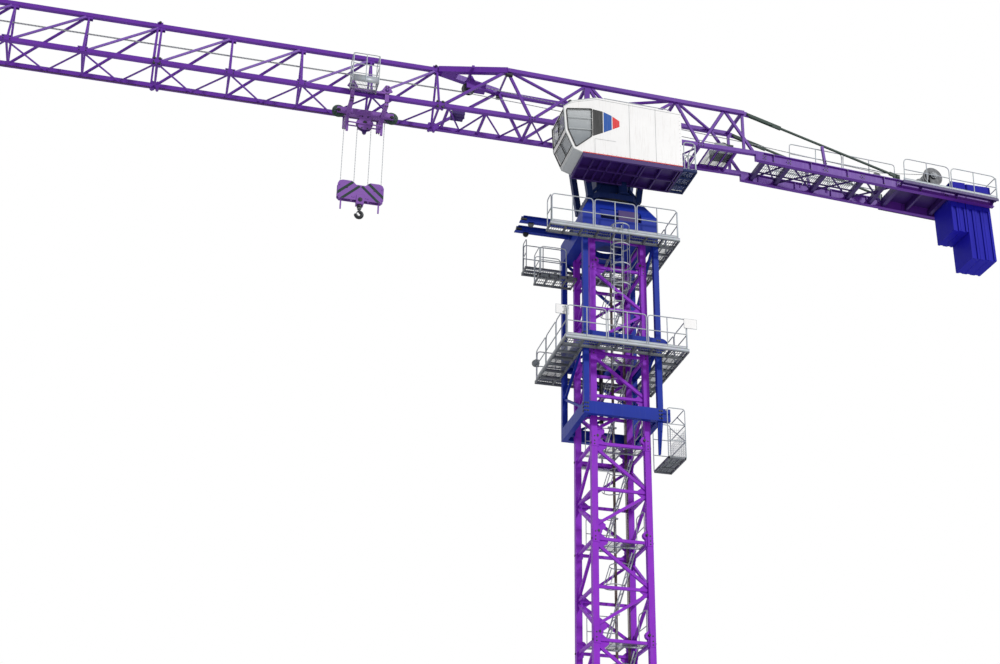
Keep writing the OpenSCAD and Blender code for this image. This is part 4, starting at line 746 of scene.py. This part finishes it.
# blank boards on the lower rails and the lamp beside them
def dressBoards():
    boards, rims, half = [], [], 0.22
    for postX, middle, y, z0, z1 in ((2.08, 2.17, -1.86, 26.77, 27.11), (-2.10, -2.19, -1.72, 26.81, 27.13)):
        x0, x1 = middle - half, middle + half
        boards.append(((x0, y - 0.06, z0), (x1, y - 0.045, z1)))
        rims.append([(x, y - 0.052, z) for x, z in ((x0, z0), (x1, z0), (x1, z1), (x0, z1), (x0, z0))])
        rims += [[(middle, y - 0.05, h), (postX, -1.86, h)] for h in (z0 + 0.07, z1 - 0.07)]
    solids("blankSignPlates", whiteEnamel, cage, 0.004, boxes=boards)
    pipes("signRims", rims, 0.011, zincSkin, cage, 6)


def dressFloodlight():
    ahead = (0, 1, 0.35)
    body = [((-2.17, 1.62, 26.52), ahead, 0.13, 0.09, 28), ((-2.17, 1.66, 26.535), ahead, 0.09, 0.1, 24)]
    bracket = ((-2.20, 1.58, 26.38), (-2.06, 1.61, 26.66))
    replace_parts(solids("floodlightBody", motorGrey, cage, 0.006, [bracket], body), "rail_boxes")
    glass = ((-2.17, 1.572, 26.503), ahead, 0.112, 0.02, 28)
    solids("floodlightGlass", cabGlass, cage, discs=[glass])


def dressCage():
    for name, strips in deckPlans.items():
        dressPlatform(name, strips, cageLook["floorTop"][name])
    makeAccess()
    dressRails("upper", -2.60, 1.88, 30.13, True)
    dressRails("lower", -2.08, 2.06, 26.0, False)
    dressBoards()
    dressFloodlight()
    heads = []
    for z, s, dz, dx in product((23.815, 26.345), bothWays, (-0.13, 0, 0.13), (0.04, 0.12)):
        heads += [((s * (1.17 + dx), t * 1.345, z + dz), (0, t, 0)) for t in bothWays]
        heads.append(((s * 1.345, -1.17 - dx, z + dz), (s, 0, 0)))
    for sx, sy in corners:
        heads += [((sx * 1.25, sy * 1.345, 30.36 + 0.1 * i), (0, sy, 0)) for i in range(-2, 3)]
    bolts("cageFlangeBolts", heads, 0.022, 0.03, darkIron, cage)
    hatch = ((-0.05, -1.31, 30.88), (0.66, -1.28, 31.28))
    solids("supportHatch", purpleWithPaintedShade, cage, 0.006, [hatch])
    hooks = [shape for y in (-0.35, 0.35)
             for shape in (((-2.9, y, 30.8), alongY, 0.10, 0.07), ((-3.15, y, 30.97), alongX, 0.06, 0.2))]
    solids("feedBeamTrolleys", darkIron, cage, 0.006, discs=hooks)
    makeBasketMesh()


dressCage()


# jib and head
print("stage: jib")
jibLook = {"rope": 0.014, "pin": 0.034, "gussetY": 0.806, "wheel": (-5.17, 36.20)}
headBays = [-5.98, -4.65, -3.0, -1.45, 0.15, 1.7, 3.3, 4.7]
lean = Matrix.Translation((site["headEnd"], 0, site["jibZ"])) @ Matrix.Rotation(site["droop"], 4, "Y")


# from the counter-jib's own leaning axes to the world
def counter(x, y, z):
    c, s = math.cos(site["droop"]), math.sin(site["droop"])
    return (site["headEnd"] + x * c + z * s, y, site["jibZ"] - x * s + z * c)


def counterLines(lines):
    return [[counter(*p) for p in line] for line in lines]


def headHigh(x):
    fall = site["headDrop"] * (x + site["headStart"]) / (site["headStop"] + site["headStart"])
    return site["jibZ"] + site["headHigh"] - fall


def dressJib():
    low, high, gussetY = site["jibZ"], site["jibZ"] + site["jibHigh"], jibLook["gussetY"]
    nodesX = [-site["jibRoot"] - site["panel"] * i for i in range(site["panels"] + 1)]
    lower = [(x, s * gussetY, low + 0.03) for x in nodesX for s in bothWays]
    plates("jibGussets", lower, (0.34, 0.012, 0.2), purpleEnamel, upper)
    ridge = [(x, s * 0.06, high - 0.09) for x in nodesX for s in bothWays]
    plates("jibTopGussets", ridge, (0.26, 0.012, 0.16), purpleEnamel, upper)
    spots = [(x + dx, low + dz) for x in (-6.31, -16.0) for dx in (-0.09, 0.09) for dz in (0.11, -0.10)]
    lugs = [((x, s * site["side"], z), alongY, 0.055, 0.16, 20) for x, z in spots for s in bothWays]
    solids("sectionLugs", purpleEnamel, upper, 0.004, discs=lugs)
    pins = facePairs(0.81, spots) + facePairs(0.11, [(x, high + 0.11) for x in (-6.38, -16.07)])
    bolts("sectionPins", pins, jibLook["pin"], 0.05, darkIron, upper, 14)
    above, below = high - 0.72, high - 0.80
    ropes = [[(-23.3, 0.02, above), (-5.3, 0.02, above)],
             [(4.4, -0.1, 35.42), (-3.0, -0.05, 35.9), (-5.3, -0.05, below), (-23.1, -0.05, below)],
             [(-5.0, 0, headHigh(-5.0) - 0.35), (-0.9, 0, 36.1), (5.2, 0, 35.75), counter(5.17, 0, 0.74)]]
    pipes("standingRopes", ropes, jibLook["rope"], ropeSteel, upper, 6)
    x, z = jibLook["wheel"]
    wheels = [((x, 0, z), alongY, 0.21, 0.05, 32)]
    for y in (-0.035, 0.035):
        wheels += [((x, y, z), alongY, 0.235, 0.02, 32), ((x, y * 2.2, z), alongY, 0.07, 0.06, 20)]
    wheels += [((-3.85, s * 0.74, 36.55), alongX, 0.075, 0.24, 20) for s in bothWays]
    solids("ropeGuideWheels", darkIron, upper, 0.004, discs=wheels)
    box = [((-5.75, -0.24, 34.93), (-5.30, 0.24, 35.16)), ((-5.78, -0.02, 34.91), (-5.27, 0.02, 35.18))]
    solids("junctionBox", purpleWithPaintedShade, upper, 0.012, box)
    heads = facePairs(gussetY, [(x + dx, low + dz) for x in (-3.0, 0.15, 3.3)
                                for dx in (-0.1, 0, 0.1) for dz in (-0.04, 0.06)])
    heads += facePairs(0.815, [(x + dx, low + dz) for x in nodesX
                               for dx in (-0.11, 0.11) for dz in (-0.02, 0.08)])
    heads += facePairs(0.81, [(5.2, 36.45)])
    bolts("chordBolts", heads, 0.017, 0.022, darkIron, upper)
    cable = [[(-6.2 - 0.4 * i, 0.69, low - 0.09 - 0.012 * (i % 2)) for i in range(42)],
             [(3.6, -0.62, 34.95), (4.3, -0.60, 35.02), (5.2, -0.55, 34.9), counter(2.0, -0.60, -0.22)]]
    pipes("controlCables", cable, 0.012, cableRubber, upper, 6)


# the floor bracing of the head with an open grating beside the trolley winch
def makeHeadFloor():
    level, reach = site["jibZ"], 0.64
    cross = [[(x, -reach, level), (x, reach, level)] for x in headBays]
    braces = []
    for a, b in zip(headBays[:6], headBays[1:7]):
        middle = ((a + b) / 2, reach, level)
        braces += [[(a, -reach, level), middle], [middle, (b, -reach, level)]]
    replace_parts(bars("headCrossBars", cross, 0.085, 0.085, purpleEnamel, upper), "head_walkway")
    bars("headFloorBraces", braces, 0.045, 0.05, purpleEnamel, upper)
    low, high = (3.7, -reach), (4.8, reach)
    bars("headGrating", gratingLines(low, high, level + 0.07, 1, 0.08), 0.006, 0.026, zincWithPaintedShade, upper)
    bars("headGratingFrame", frameLines(low, high, level + 0.06, 0, 0.4), 0.04, 0.05, purpleEnamel, upper)


def dressTurntable():
    teeth = {"Count": 108, "Ring Radius": 0.965, "Tooth": (0.05, 0.026, 0.09), "Level": 31.82}
    growPiece("ringTeeth", pointGuide("ringGuide", [((0, 0, 0), alongZ)]), toothTree, teeth, darkIron, upper)
    # the bolts behind the four posts of the turntable are left out
    ringHeads = [((x, y, 32.16), alongZ) for x, y in circle(0.93, 36) if abs(x) < 0.6975 or abs(y) < 0.558]
    bolts("ringBolts", ringHeads, 0.02, 0.03, darkIron, upper)
    # level, radius, depth and sides of each round part of a slewing motor
    rounds = [(32.55, 0.17, 0.72, 28), (32.96, 0.13, 0.30, 24),
              (32.20, 0.24, 0.06, 28), (33.15, 0.145, 0.07, 24)]
    rounds += [(32.86 + 0.04 * i, 0.15, 0.012, 24) for i in range(7)]
    motors = [((x, y, z), alongZ, *size) for x, y in ((0.30, -0.80), (-0.30, 0.80)) for z, *size in rounds]
    solids("slewingMotors", navyEnamel, upper, 0.005, discs=motors)
    rungs = [[(x, -0.60, 32.2), (x, -0.60, 33.3)] for x in (-0.16, 0.16)]
    rungs += [[(-0.16, -0.60, 32.35 + 0.25 * i), (0.16, -0.60, 32.35 + 0.25 * i)] for i in range(4)]
    pipes("turntableRungs", rungs, 0.015, zincSkin, upper, 6)


dressJib()
makeHeadFloor()
dressTurntable()

# cab: outlines of its side in millimetres from the lower front corner
print("stage: cab")
cabLook = {
    "front": -2.35, "near": -2.38, "far": -0.88, "middle": -1.63, "base": 32.70,
    "frontEdge": [(720, 0), (400, 110), (110, 780), (50, 1740), (350, 2020), (1250, 2300)],
    "window": [(140, 1660), (1050, 1800), (1050, 700), (480, 180), (200, 850)],
    "bands": [
        ("stripeBlack", blackFilm, [(1085, 1800), (1440, 1760), (1440, 900), (1085, 715)]),
        ("stripeBlue", blueFilm, [(1470, 1750), (1760, 1640), (1760, 1080), (1470, 920)]),
        ("stripeRed", redFilm, [(1790, 1620), (2040, 1470), (2040, 1240), (1790, 1100)]),
    ],
}


def cabSpot(u, v, y):
    return (cabLook["front"] + u / 1000, y, cabLook["base"] + v / 1000)


def cabLine(y, *spots):
    return [cabSpot(u, v, y) for u, v in spots]


def sheet(wide, high):
    return [(0, 0), (wide, 0), (wide, high), (0, high)]


# plain stripe plates beside the side window, where the photo shows a printed design
def makeStripes():
    for name, finish, outline in cabLook["bands"]:
        points = [(u / 1000, v / 1000) for u, v in outline]
        bands = [(points, cabSpot(0, 0, y), alongX, alongZ, 0.007)
                 for y in (cabLook["near"] + 0.001, cabLook["far"] + 0.006)]
        solids(name, finish, upper, 0.0015, prisms=bands)


def dressWindows():
    near, far, middle = cabLook["near"], cabLook["far"], cabLook["middle"]
    gaskets, muntins, seams = [], [], []
    for y in (near - 0.012, far + 0.012):
        ring = cabLine(y, *cabLook["window"])
        start = (Vector(ring[0]) + Vector(ring[-1])) / 2
        gaskets.append(rounded([start] + ring + [start], 0.06))
        muntins += [cabLine(y, (170, 1330), (1050, 1400)), cabLine(y, (190, 880), (1050, 960))]
    frontRows = []
    for v in (230, 700, 900, 1640):
        u = 400 - (v - 110) * 290 / 670 if v < 780 else 110 - (v - 780) * 60 / 960
        frontRows.append([cabSpot(u - 14, v, near + 0.05), cabSpot(u - 14, v, far - 0.05)])
    for ends in (((334, 230), (130, 700)), ((88, 900), (42, 1640))):
        frontRows += [cabLine(y, *ends) for y in (near + 0.05, far - 0.05, middle)]
    bars("windowGaskets", gaskets, 0.03, 0.028, rubberSeal, upper)
    bars("windowMuntins", muntins, 0.012, 0.022, sealGrey, upper)
    pipes("frontWindowFrames", frontRows, 0.017, rubberSeal, upper, 6)
    for y in (near - 0.002, far + 0.002):
        seams += [cabLine(y, (1150, 30), (1150, 620), (1900, 620)), cabLine(y, (2400, 30), (2400, 2240)),
                  cabLine(y, (3350, 30), (3350, 2200)),
                  cabLine(y, (60, 1760), (350, 1960), (1250, 2235), (4290, 2130))]
    bars("cabSheetSeams", seams, 0.012, 0.008, sealGrey, upper)
    lip = [cabLine(y, (720, 18), (4300, 18)) for y in (near - 0.006, far + 0.006)]
    bars("cabFootStripe", lip, 0.012, 0.03, redFilm, upper)
    edges = [[cabSpot(u - 6, v, y) for u, v in cabLook["frontEdge"]] for y in (near + 0.01, far - 0.01)]
    pipes("cabFrontEdges", edges, 0.02, sealGrey, upper, 6)


def dressCab():
    near, far = cabLook["near"], cabLook["far"]
    chin = [(sheet(1.46, 0.335), cabSpot(716, -3, near + 0.02), alongY, (-0.32, 0, 0.11), 0.012),
            (sheet(1.46, 0.10), cabSpot(398, 100, near + 0.02), alongY, (-0.28, 0, 0.66), 0.012)]
    solids("cabChinPanel", sealGrey, upper, 0.004, prisms=chin)
    back = ((3900, 2330), (3900, 2190))
    rails = [rounded(cabLine(near + 0.10, (1500, 2270), (1500, 2390), *back), 0.08),
             rounded(cabLine(far - 0.10, (1300, 2290), (1300, 2390), *back), 0.08)]
    rearGrip = ((4300, 700), (4380, 700), (4380, 1500), (4300, 1500))
    rails += [rounded(cabLine(y, *rearGrip), 0.06) for y in (-2.0, -1.3)]
    frontGrip = ((110, -1.9), (20, -1.9), (20, -1.35), (110, -1.35))
    rails.append(rounded([cabSpot(u, 840, y) for u, y in frontGrip], 0.05))
    pipes("cabGrabRails", rails, 0.016, zincSkin, upper)
    wiper = [cabSpot(96, 860, cabLook["middle"]), cabSpot(52, 1150, -1.75), cabSpot(36, 1480, -1.95)]
    pipes("wiperArm", [wiper], 0.010, rubberSeal, upper, 6)
    door = [(cabSpot(4300, 100, -2.02), cabSpot(4322, 2020, -1.28)),
            (cabSpot(4322, 1150, -1.90), cabSpot(4330, 1850, -1.40))]
    solids("cabDoor", whiteEnamel, upper, 0.008, door)
    hinges = [(cabSpot(4318, v, -2.03), alongZ, 0.018, 0.12, 14) for v in (300, 1000, 1800)]
    hinges.append((cabSpot(4340, 1000, -1.36), alongX, 0.03, 0.04, 18))
    handle = (cabSpot(4345, 985, -1.48), cabSpot(4360, 1012, -1.34))
    solids("doorHardware", darkIron, upper, 0.003, [handle], hinges)
    cooler = [(cabSpot(2500, 2245, -1.9), cabSpot(3200, 2400, -1.35))]
    cooler += [(cabSpot(u, 2400, -1.86), cabSpot(u + 25, 2412, -1.39)) for u in range(2560, 3200, 80)]
    solids("roofCooler", sealGrey, upper, 0.012, cooler)
    spots = [(800 + 160 * i, 70) for i in range(22)] + [(4240, v) for v in range(160, 2200, 170)]
    walls = ((near - 0.001, -1), (far + 0.001, 1))
    rivets = [(cabSpot(u, v, y), (0, s, 0)) for u, v in spots for y, s in walls]
    bolts("cabRivets", rivets, 0.010, 0.008, sealGrey, upper, 8)
    lamps = [(cabSpot(330, 2075, y), (-1, 0, -0.5), 0.085, 0.08, 24) for y in (-2.2, -1.06)]
    solids("cabLamps", darkIron, upper, 0.006, discs=lamps)
    top, low, high = cabLook["base"] - 0.01, (1.95, near), (2.47, far)
    grating = gratingLines(low, high, top - 0.018, 1, 0.06)
    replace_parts(bars("cabWalkwayGrating", grating, 0.009, 0.032, navyEnamel, upper), "cab_walkway")
    bars("cabWalkwayFrame", frameLines(low, high, top - 0.09, 1, 0.72), 0.045, 0.11, navyEnamel, upper)
    rail = railPanels((2.45, -2.36, top), (2.45, -0.90, top), 1.05, 2)
    rail += railPanels((1.99, -2.36, top), (2.45, -2.36, top), 1.05, 1)
    pipes("cabWalkwayRail", rail, 0.018, zincSkin, upper)
    under = 32.56
    ribs = [[(x, near + 0.05, under), (x, far - 0.05, under)] for x in (-1.2, -0.6, 0.0, 0.6, 1.2, 1.8)]
    ribs += [[(-1.6, y, under), (1.93, y, under)] for y in (near + 0.04, cabLook["middle"], far - 0.04)]
    bars("cabFloorRibs", ribs, 0.05, 0.07, purpleWithPaintedShade, upper)


makeStripes()
dressWindows()
dressCab()


# counter-jib, in its own leaning axes
print("stage: counter-jib")
counterLook = {"pipe": 0.018, "winchX": 7.27, "shaft": 0.775, "drum": 0.29, "pulleyX": 5.17, "pulleyZ": 0.56,
               "turns": 26, "ropeWide": 0.011, "deck": 0.075, "motorX": 6.63, "motorZ": 0.355}


def dressCounter():
    look = counterLook
    rails, grating = [], gratingLines((0.45, -0.30), (4.15, 0.30), -0.022, 0, 0.075)
    boards = [[(9.53, -1.03, -0.045), (9.53, 1.03, -0.045)]]
    for s in bothWays:
        rails += railPanels((1.37, s * 0.605, -0.04), (5.62, s * 0.605, -0.04), 0.84, 2)
        rails += railPanels((5.72, s * 1.03, -0.075), (9.54, s * 1.03, -0.075), 0.95, 2, 0.08, 0.2)
        boards.append([(5.72, s * 1.03, -0.02), (9.54, s * 1.03, -0.02)])
        y0, y1 = sorted((s * 0.82, s * 1.04))
        grating += gratingLines((5.7, y0), (9.5, y1), -0.058, 0, 0.06)
    piece = pipes("counterRailPipes", counterLines(rails), look["pipe"], zincSkin, upper)
    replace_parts(piece, "counter_rails")
    end = railPanels((9.54, -1.03, -0.075), (9.54, 1.03, -0.075), 0.95, 2)
    pipes("counterEndRail", counterLines(end), look["pipe"], zincSkin, upper)
    bars("counterToeBoards", counterLines(boards), 0.006, 0.1, zincSkin, upper)
    bars("counterGratings", counterLines(grating), 0.008, 0.03, zincSkin, upper)
    bearers = [[(0.40, y, -0.06), (4.2, y, -0.06)] for y in (-0.32, 0.32)]
    bars("walkwayBearers", counterLines(bearers), 0.04, 0.05, purpleWithPaintedShade, upper)
    helix, steps, reach = [], look["turns"] * 20, look["drum"] + look["ropeWide"]
    for i in range(steps + 1):
        turn = 2 * math.pi * i / 20
        helix.append((look["winchX"] + reach * math.cos(turn), -0.35 + 0.70 * i / steps,
                      look["shaft"] + reach * math.sin(turn)))
    lead = [(look["pulleyX"], 0, look["pulleyZ"] + 0.165),
            (look["winchX"] - 0.06, -0.02, look["shaft"] + look["drum"] + 0.01)]
    pipes("hoistRopeTurns", counterLines([helix, lead]), look["ropeWide"], ropeSteel, upper, 6)


# bolts of the counter-jib, its ties and their lugs, and the lifting eyes of the slabs
def boltCounter():
    places = [(x + dx, dz) for x in (0.34, 1.3, 2.75, 4.2, 5.65, 7.56)
              for dx in (-0.05, 0.05) for dz in (-0.2, -0.08)]
    heads = facePairs(0.807, places)
    heads += facePairs(0.81, [(0.7 + 1.45 * i, z) for i in range(6) for z in (0.02, -0.25)])
    heads = [(counter(*spot), facing) for spot, facing in heads]
    heads += facePairs(0.80, [(8.12 + dx, 34.70 + z) for z in (0.13, 0.23) for dx in (-0.05, 0.05)])
    heads += facePairs(0.62, [(5.2, 36.455)]) + facePairs(0.80, [(11.005, 34.777)])
    bolts("counterBolts", heads, 0.018, 0.024, darkIron, upper)
    ring = circle(0.06, 14)
    tops = [(13.33, 34.88), (13.63, 34.88), (13.97, 34.85), (14.30, 34.85), (14.63, 34.85)]
    eyes = [[(x + dx, s * 0.32, top + 0.05 + dz) for dx, dz in ring + ring[:1]]
            for x, top in tops for s in bothWays]
    pipes("slabLiftingEyes", eyes, 0.014, darkIron, upper, 6)


# the finned motor of the hoist winch, its drum ends and the bolts round them
def dressWinch():
    x, z, motorX, motorZ, deck = (counterLook[key] for key in ("winchX", "shaft", "motorX", "motorZ", "deck"))
    discs = [((motorX, -0.29 + 0.04 * i, motorZ), alongY, 0.172, 0.014, 28) for i in range(15)]
    discs += [((motorX, -0.36, motorZ), alongY, 0.125, 0.10, 24),
              ((motorX, -0.42, motorZ), alongY, 0.10, 0.05, 24)]
    for y in (-0.50, 0.50):
        discs += [((x, y, z), alongY, 0.14, 0.05, 28), ((x, y * 1.07, z), alongY, 0.085, 0.04, 24)]
    discs += [((x + a, -0.53, z + b), alongY, 0.014, 0.024, 8) for a, b in circle(0.115, 8)]
    discs += [((x + a, -0.375, z + b), alongY, 0.02, 0.03, 8) for a, b in circle(0.345, 8)]
    boxes = [((x - 0.74, -0.14, 0.43 + deck), (x - 0.54, 0.10, 0.56 + deck))]
    boxes += [((u, 0.48, 0.10 + deck), (u + 0.03, 0.505, 0.52 + deck))
              for u in (x - 0.74 + 0.14 * i for i in range(4))]
    solids("winchParts", motorGrey, upper, 0.005, boxes, discs, lean=lean)


dressCounter()
dressWinch()
boltCounter()

# trolley, rope falls and hook
print("stage: trolley")
trolleyLook = {"x": -8.8, "falls": (0.70, 0.24), "rope": 0.012, "blockTop": 31.695, "pipe": 0.017,
               "outerZ": 34.47, "innerZ": 34.10, "fallEnd": 31.42, "sheaveX": 0.93, "legX": 0.6}


def dressTrolley():
    look, x0, outerZ, innerZ = trolleyLook, trolleyLook["x"], trolleyLook["outerZ"], trolleyLook["innerZ"]
    legs = [x0 + s * look["legX"] for s in bothWays]
    sheaves = [x0 + s * look["sheaveX"] for s in bothWays]
    places = [(x + dx, z) for x in legs for dx in (-0.035, 0.035) for z in (34.36, 34.50, 34.86)]
    places += [(x, 35.02) for x in legs] + [(x + dx, 35.14) for x in legs for dx in (-0.05, 0.05)]
    heads = facePairs(0.892, places)
    heads += facePairs(0.092, [(x0 + a, innerZ + b) for a, b in circle(0.25, 8, math.pi / 8)])
    bolts("trolleyBolts", heads, 0.018, 0.024, darkIron, trolley)
    caps = facePairs(0.096, [(x, outerZ) for x in sheaves]) + facePairs(0.10, [(x0, innerZ)])
    bolts("sheavePins", caps, 0.045, 0.03, darkIron, trolley, 18)
    hubs = [((x, s * 0.06, outerZ), alongY, 0.075, 0.05, 24) for x in sheaves for s in bothWays]
    hubs += [((x, s * 0.90, 35.02), alongY, 0.065, 0.03, 24) for x in legs for s in bothWays]
    lug = [(-0.10, 0), (0.10, 0), (0.06, -0.16), (0, -0.20), (-0.06, -0.16)]
    lugs = [(lug, (x0, y, 33.84), alongX, alongZ, 0.014) for y in (-0.03, 0.0)]
    solids("trolleyHubs", purpleWithPaintedShade, trolley, 0.004, discs=hubs, prisms=lugs)
    x1, x2, y1, y2, low, top = x0 - 0.70, x0 + 0.20, -1.51, -0.89, 34.79, 35.925
    hoop = [(x1, y2, low), (x1, y2, top), (x1, y1, top), (x2, y1, top), (x2, y2, top), (x2, y2, low)]
    rail = [rounded(hoop, 0.1)]
    rail += [[(x1, y2, h), (x1, y1, h), (x2, y1, h), (x2, y2, h)] for h in (35.12, 35.5)]
    rail += [[(x, y1, low), (x, y1, top)] for x in (x1, (x1 + x2) / 2, x2)]
    rail += [[(x, y2, 34.95), (x, y2 + 0.12, 34.95)] for x in (x1 + 0.1, x2 - 0.1)]
    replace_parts(pipes("serviceBasketPipes", rail, look["pipe"], zincSkin, trolley), "trolley_basket")
    bars("serviceBasketFloor", gratingLines((x1, y1), (x2, y2), low, 0, 0.05), 0.007, 0.03, zincSkin, trolley)
    skirt = [(x, y, low + 0.13) for x, y in ((x1, y2), (x1, y1), (x2, y1), (x2, y2))]
    bars("serviceBasketSkirt", [skirt], 0.006, 0.28, zincSkin, trolley)


# the outer falls hang from the end sheaves, the inner ones from the middle sheave
def dressFalls():
    look = trolleyLook
    lines = []
    for reach, top in zip(look["falls"], (look["outerZ"], look["innerZ"])):
        levels = [top - (top - look["fallEnd"]) * i / 40 for i in range(41)]
        lines += [[(look["x"] + s * reach, 0, z) for z in levels] for s in bothWays]
    piece = pipes("hoistFalls", lines, look["rope"], ropeSteel, None)
    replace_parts(piece, "rope_falls")
    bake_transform(piece)


def dressHook():
    x0, top = trolleyLook["x"], trolleyLook["blockTop"]
    bands = ([(-0.785, -0.58), (-0.785, -0.45), (-0.31, -0.015), (-0.235, -0.073)],
             [(-0.69, -0.715), (-0.07, -0.14), (-0.006, -0.20), (-0.56, -0.715)])
    marks = [([(-s * a, b) for a, b in band], (x0, y, top), alongX, alongZ, 0.004)
             for s in bothWays for band in bands for y in (-0.0985, 0.1025)]
    solids("hookBlockStripes", tieEnamel, block, prisms=marks)
    places = [(x0 + x, top - h) for x in (-0.73, 0.73) for h in (0.2, 0.62)]
    places += [(x0 + x, top - 0.62) for x in (-0.27, -0.2, 0.2, 0.27)]
    bolts("hookBlockBolts", facePairs(0.104, places), 0.018, 0.02, fadedEnamel, block)
    centre = []
    for s in bothWays:
        centre += [((x0, s * 0.125, top - 0.70), alongY, 0.075, 0.03, 28),
                   ((x0, s * 0.14, top - 0.70), alongY, 0.035, 0.03, 20)]
        centre += [((x0 + dx, s * 0.103, top - 0.28), alongY, 0.028, 0.02, 20) for dx in (-0.47, 0.47)]
    solids("hookBlockCentre", darkIron, block, 0.004, discs=centre)
    latch = [(-0.135, 0.0), (-0.105, -0.005), (-0.02, 0.125), (-0.045, 0.150)]
    pins = [((x0 - 0.035, 0, 30.60), alongY, 0.022, 0.10, 18), ((x0, 0, 30.70), alongZ, 0.075, 0.05, 6)]
    shape = (latch, (x0, 0.015, 30.469), alongX, alongZ, 0.03)
    solids("hookLatch", motorGrey, hook, 0.003, discs=pins, prisms=[shape])


dressTrolley()
dressFalls()
dressHook()

# floor, sky and light
print("stage: light")
roomLook = {"fill": 0.45, "seen": 1.0, "wide": 1600, "paper": "#F1F1F1", "sun": 2.1,
            "sunFrom": (0.55, -0.75, 0.62)}


# the sky is white where it is seen, mirrored or looked through, and dimmer where it only lights
def paleRoom():
    world = bpy.data.worlds.new("softSky")
    bpy.context.scene.world = world
    world.use_nodes = True
    tree = world.node_tree
    background = tree.nodes["Background"]
    seen = addNode(tree, "ShaderNodeLightPath")
    shine = addNode(tree, "ShaderNodeMath", {"operation": "MAXIMUM"}, {
        0: seen.outputs["Is Camera Ray"], 1: seen.outputs["Is Glossy Ray"]})
    clear = addNode(tree, "ShaderNodeMath", {"operation": "MAXIMUM"}, {
        0: shine, 1: seen.outputs["Is Transmission Ray"]})
    level = addNode(tree, "ShaderNodeMapRange", inputs={
        "Value": clear, "To Min": roomLook["fill"], "To Max": roomLook["seen"]})
    setInputs(tree, background, {"Color": (1, 1, 1, 1), "Strength": level})
    bpy.ops.mesh.primitive_plane_add(size=roomLook["wide"], location=(0, 0, -0.002))
    floor = bpy.context.object
    floor.name = "paleFloor"
    paper, paperTree, surface = newMaterial("palePaperFloor")
    setInputs(paperTree, surface, {"Base Color": roomLook["paper"], "Roughness": 0.9})
    floor.data.materials.append(paper)
    sun = bpy.data.objects.new("Sun", bpy.data.lights.new("Sun", "SUN"))
    sun.data.energy = roomLook["sun"]
    sun.data.angle = math.radians(6)
    sun.rotation_euler = Vector(roomLook["sunFrom"]).to_track_quat("Z", "Y").to_euler()
    bpy.context.scene.collection.objects.link(sun)


paleRoom()
bpy.context.scene.view_settings.view_transform = "Standard"

print("stage: finish")
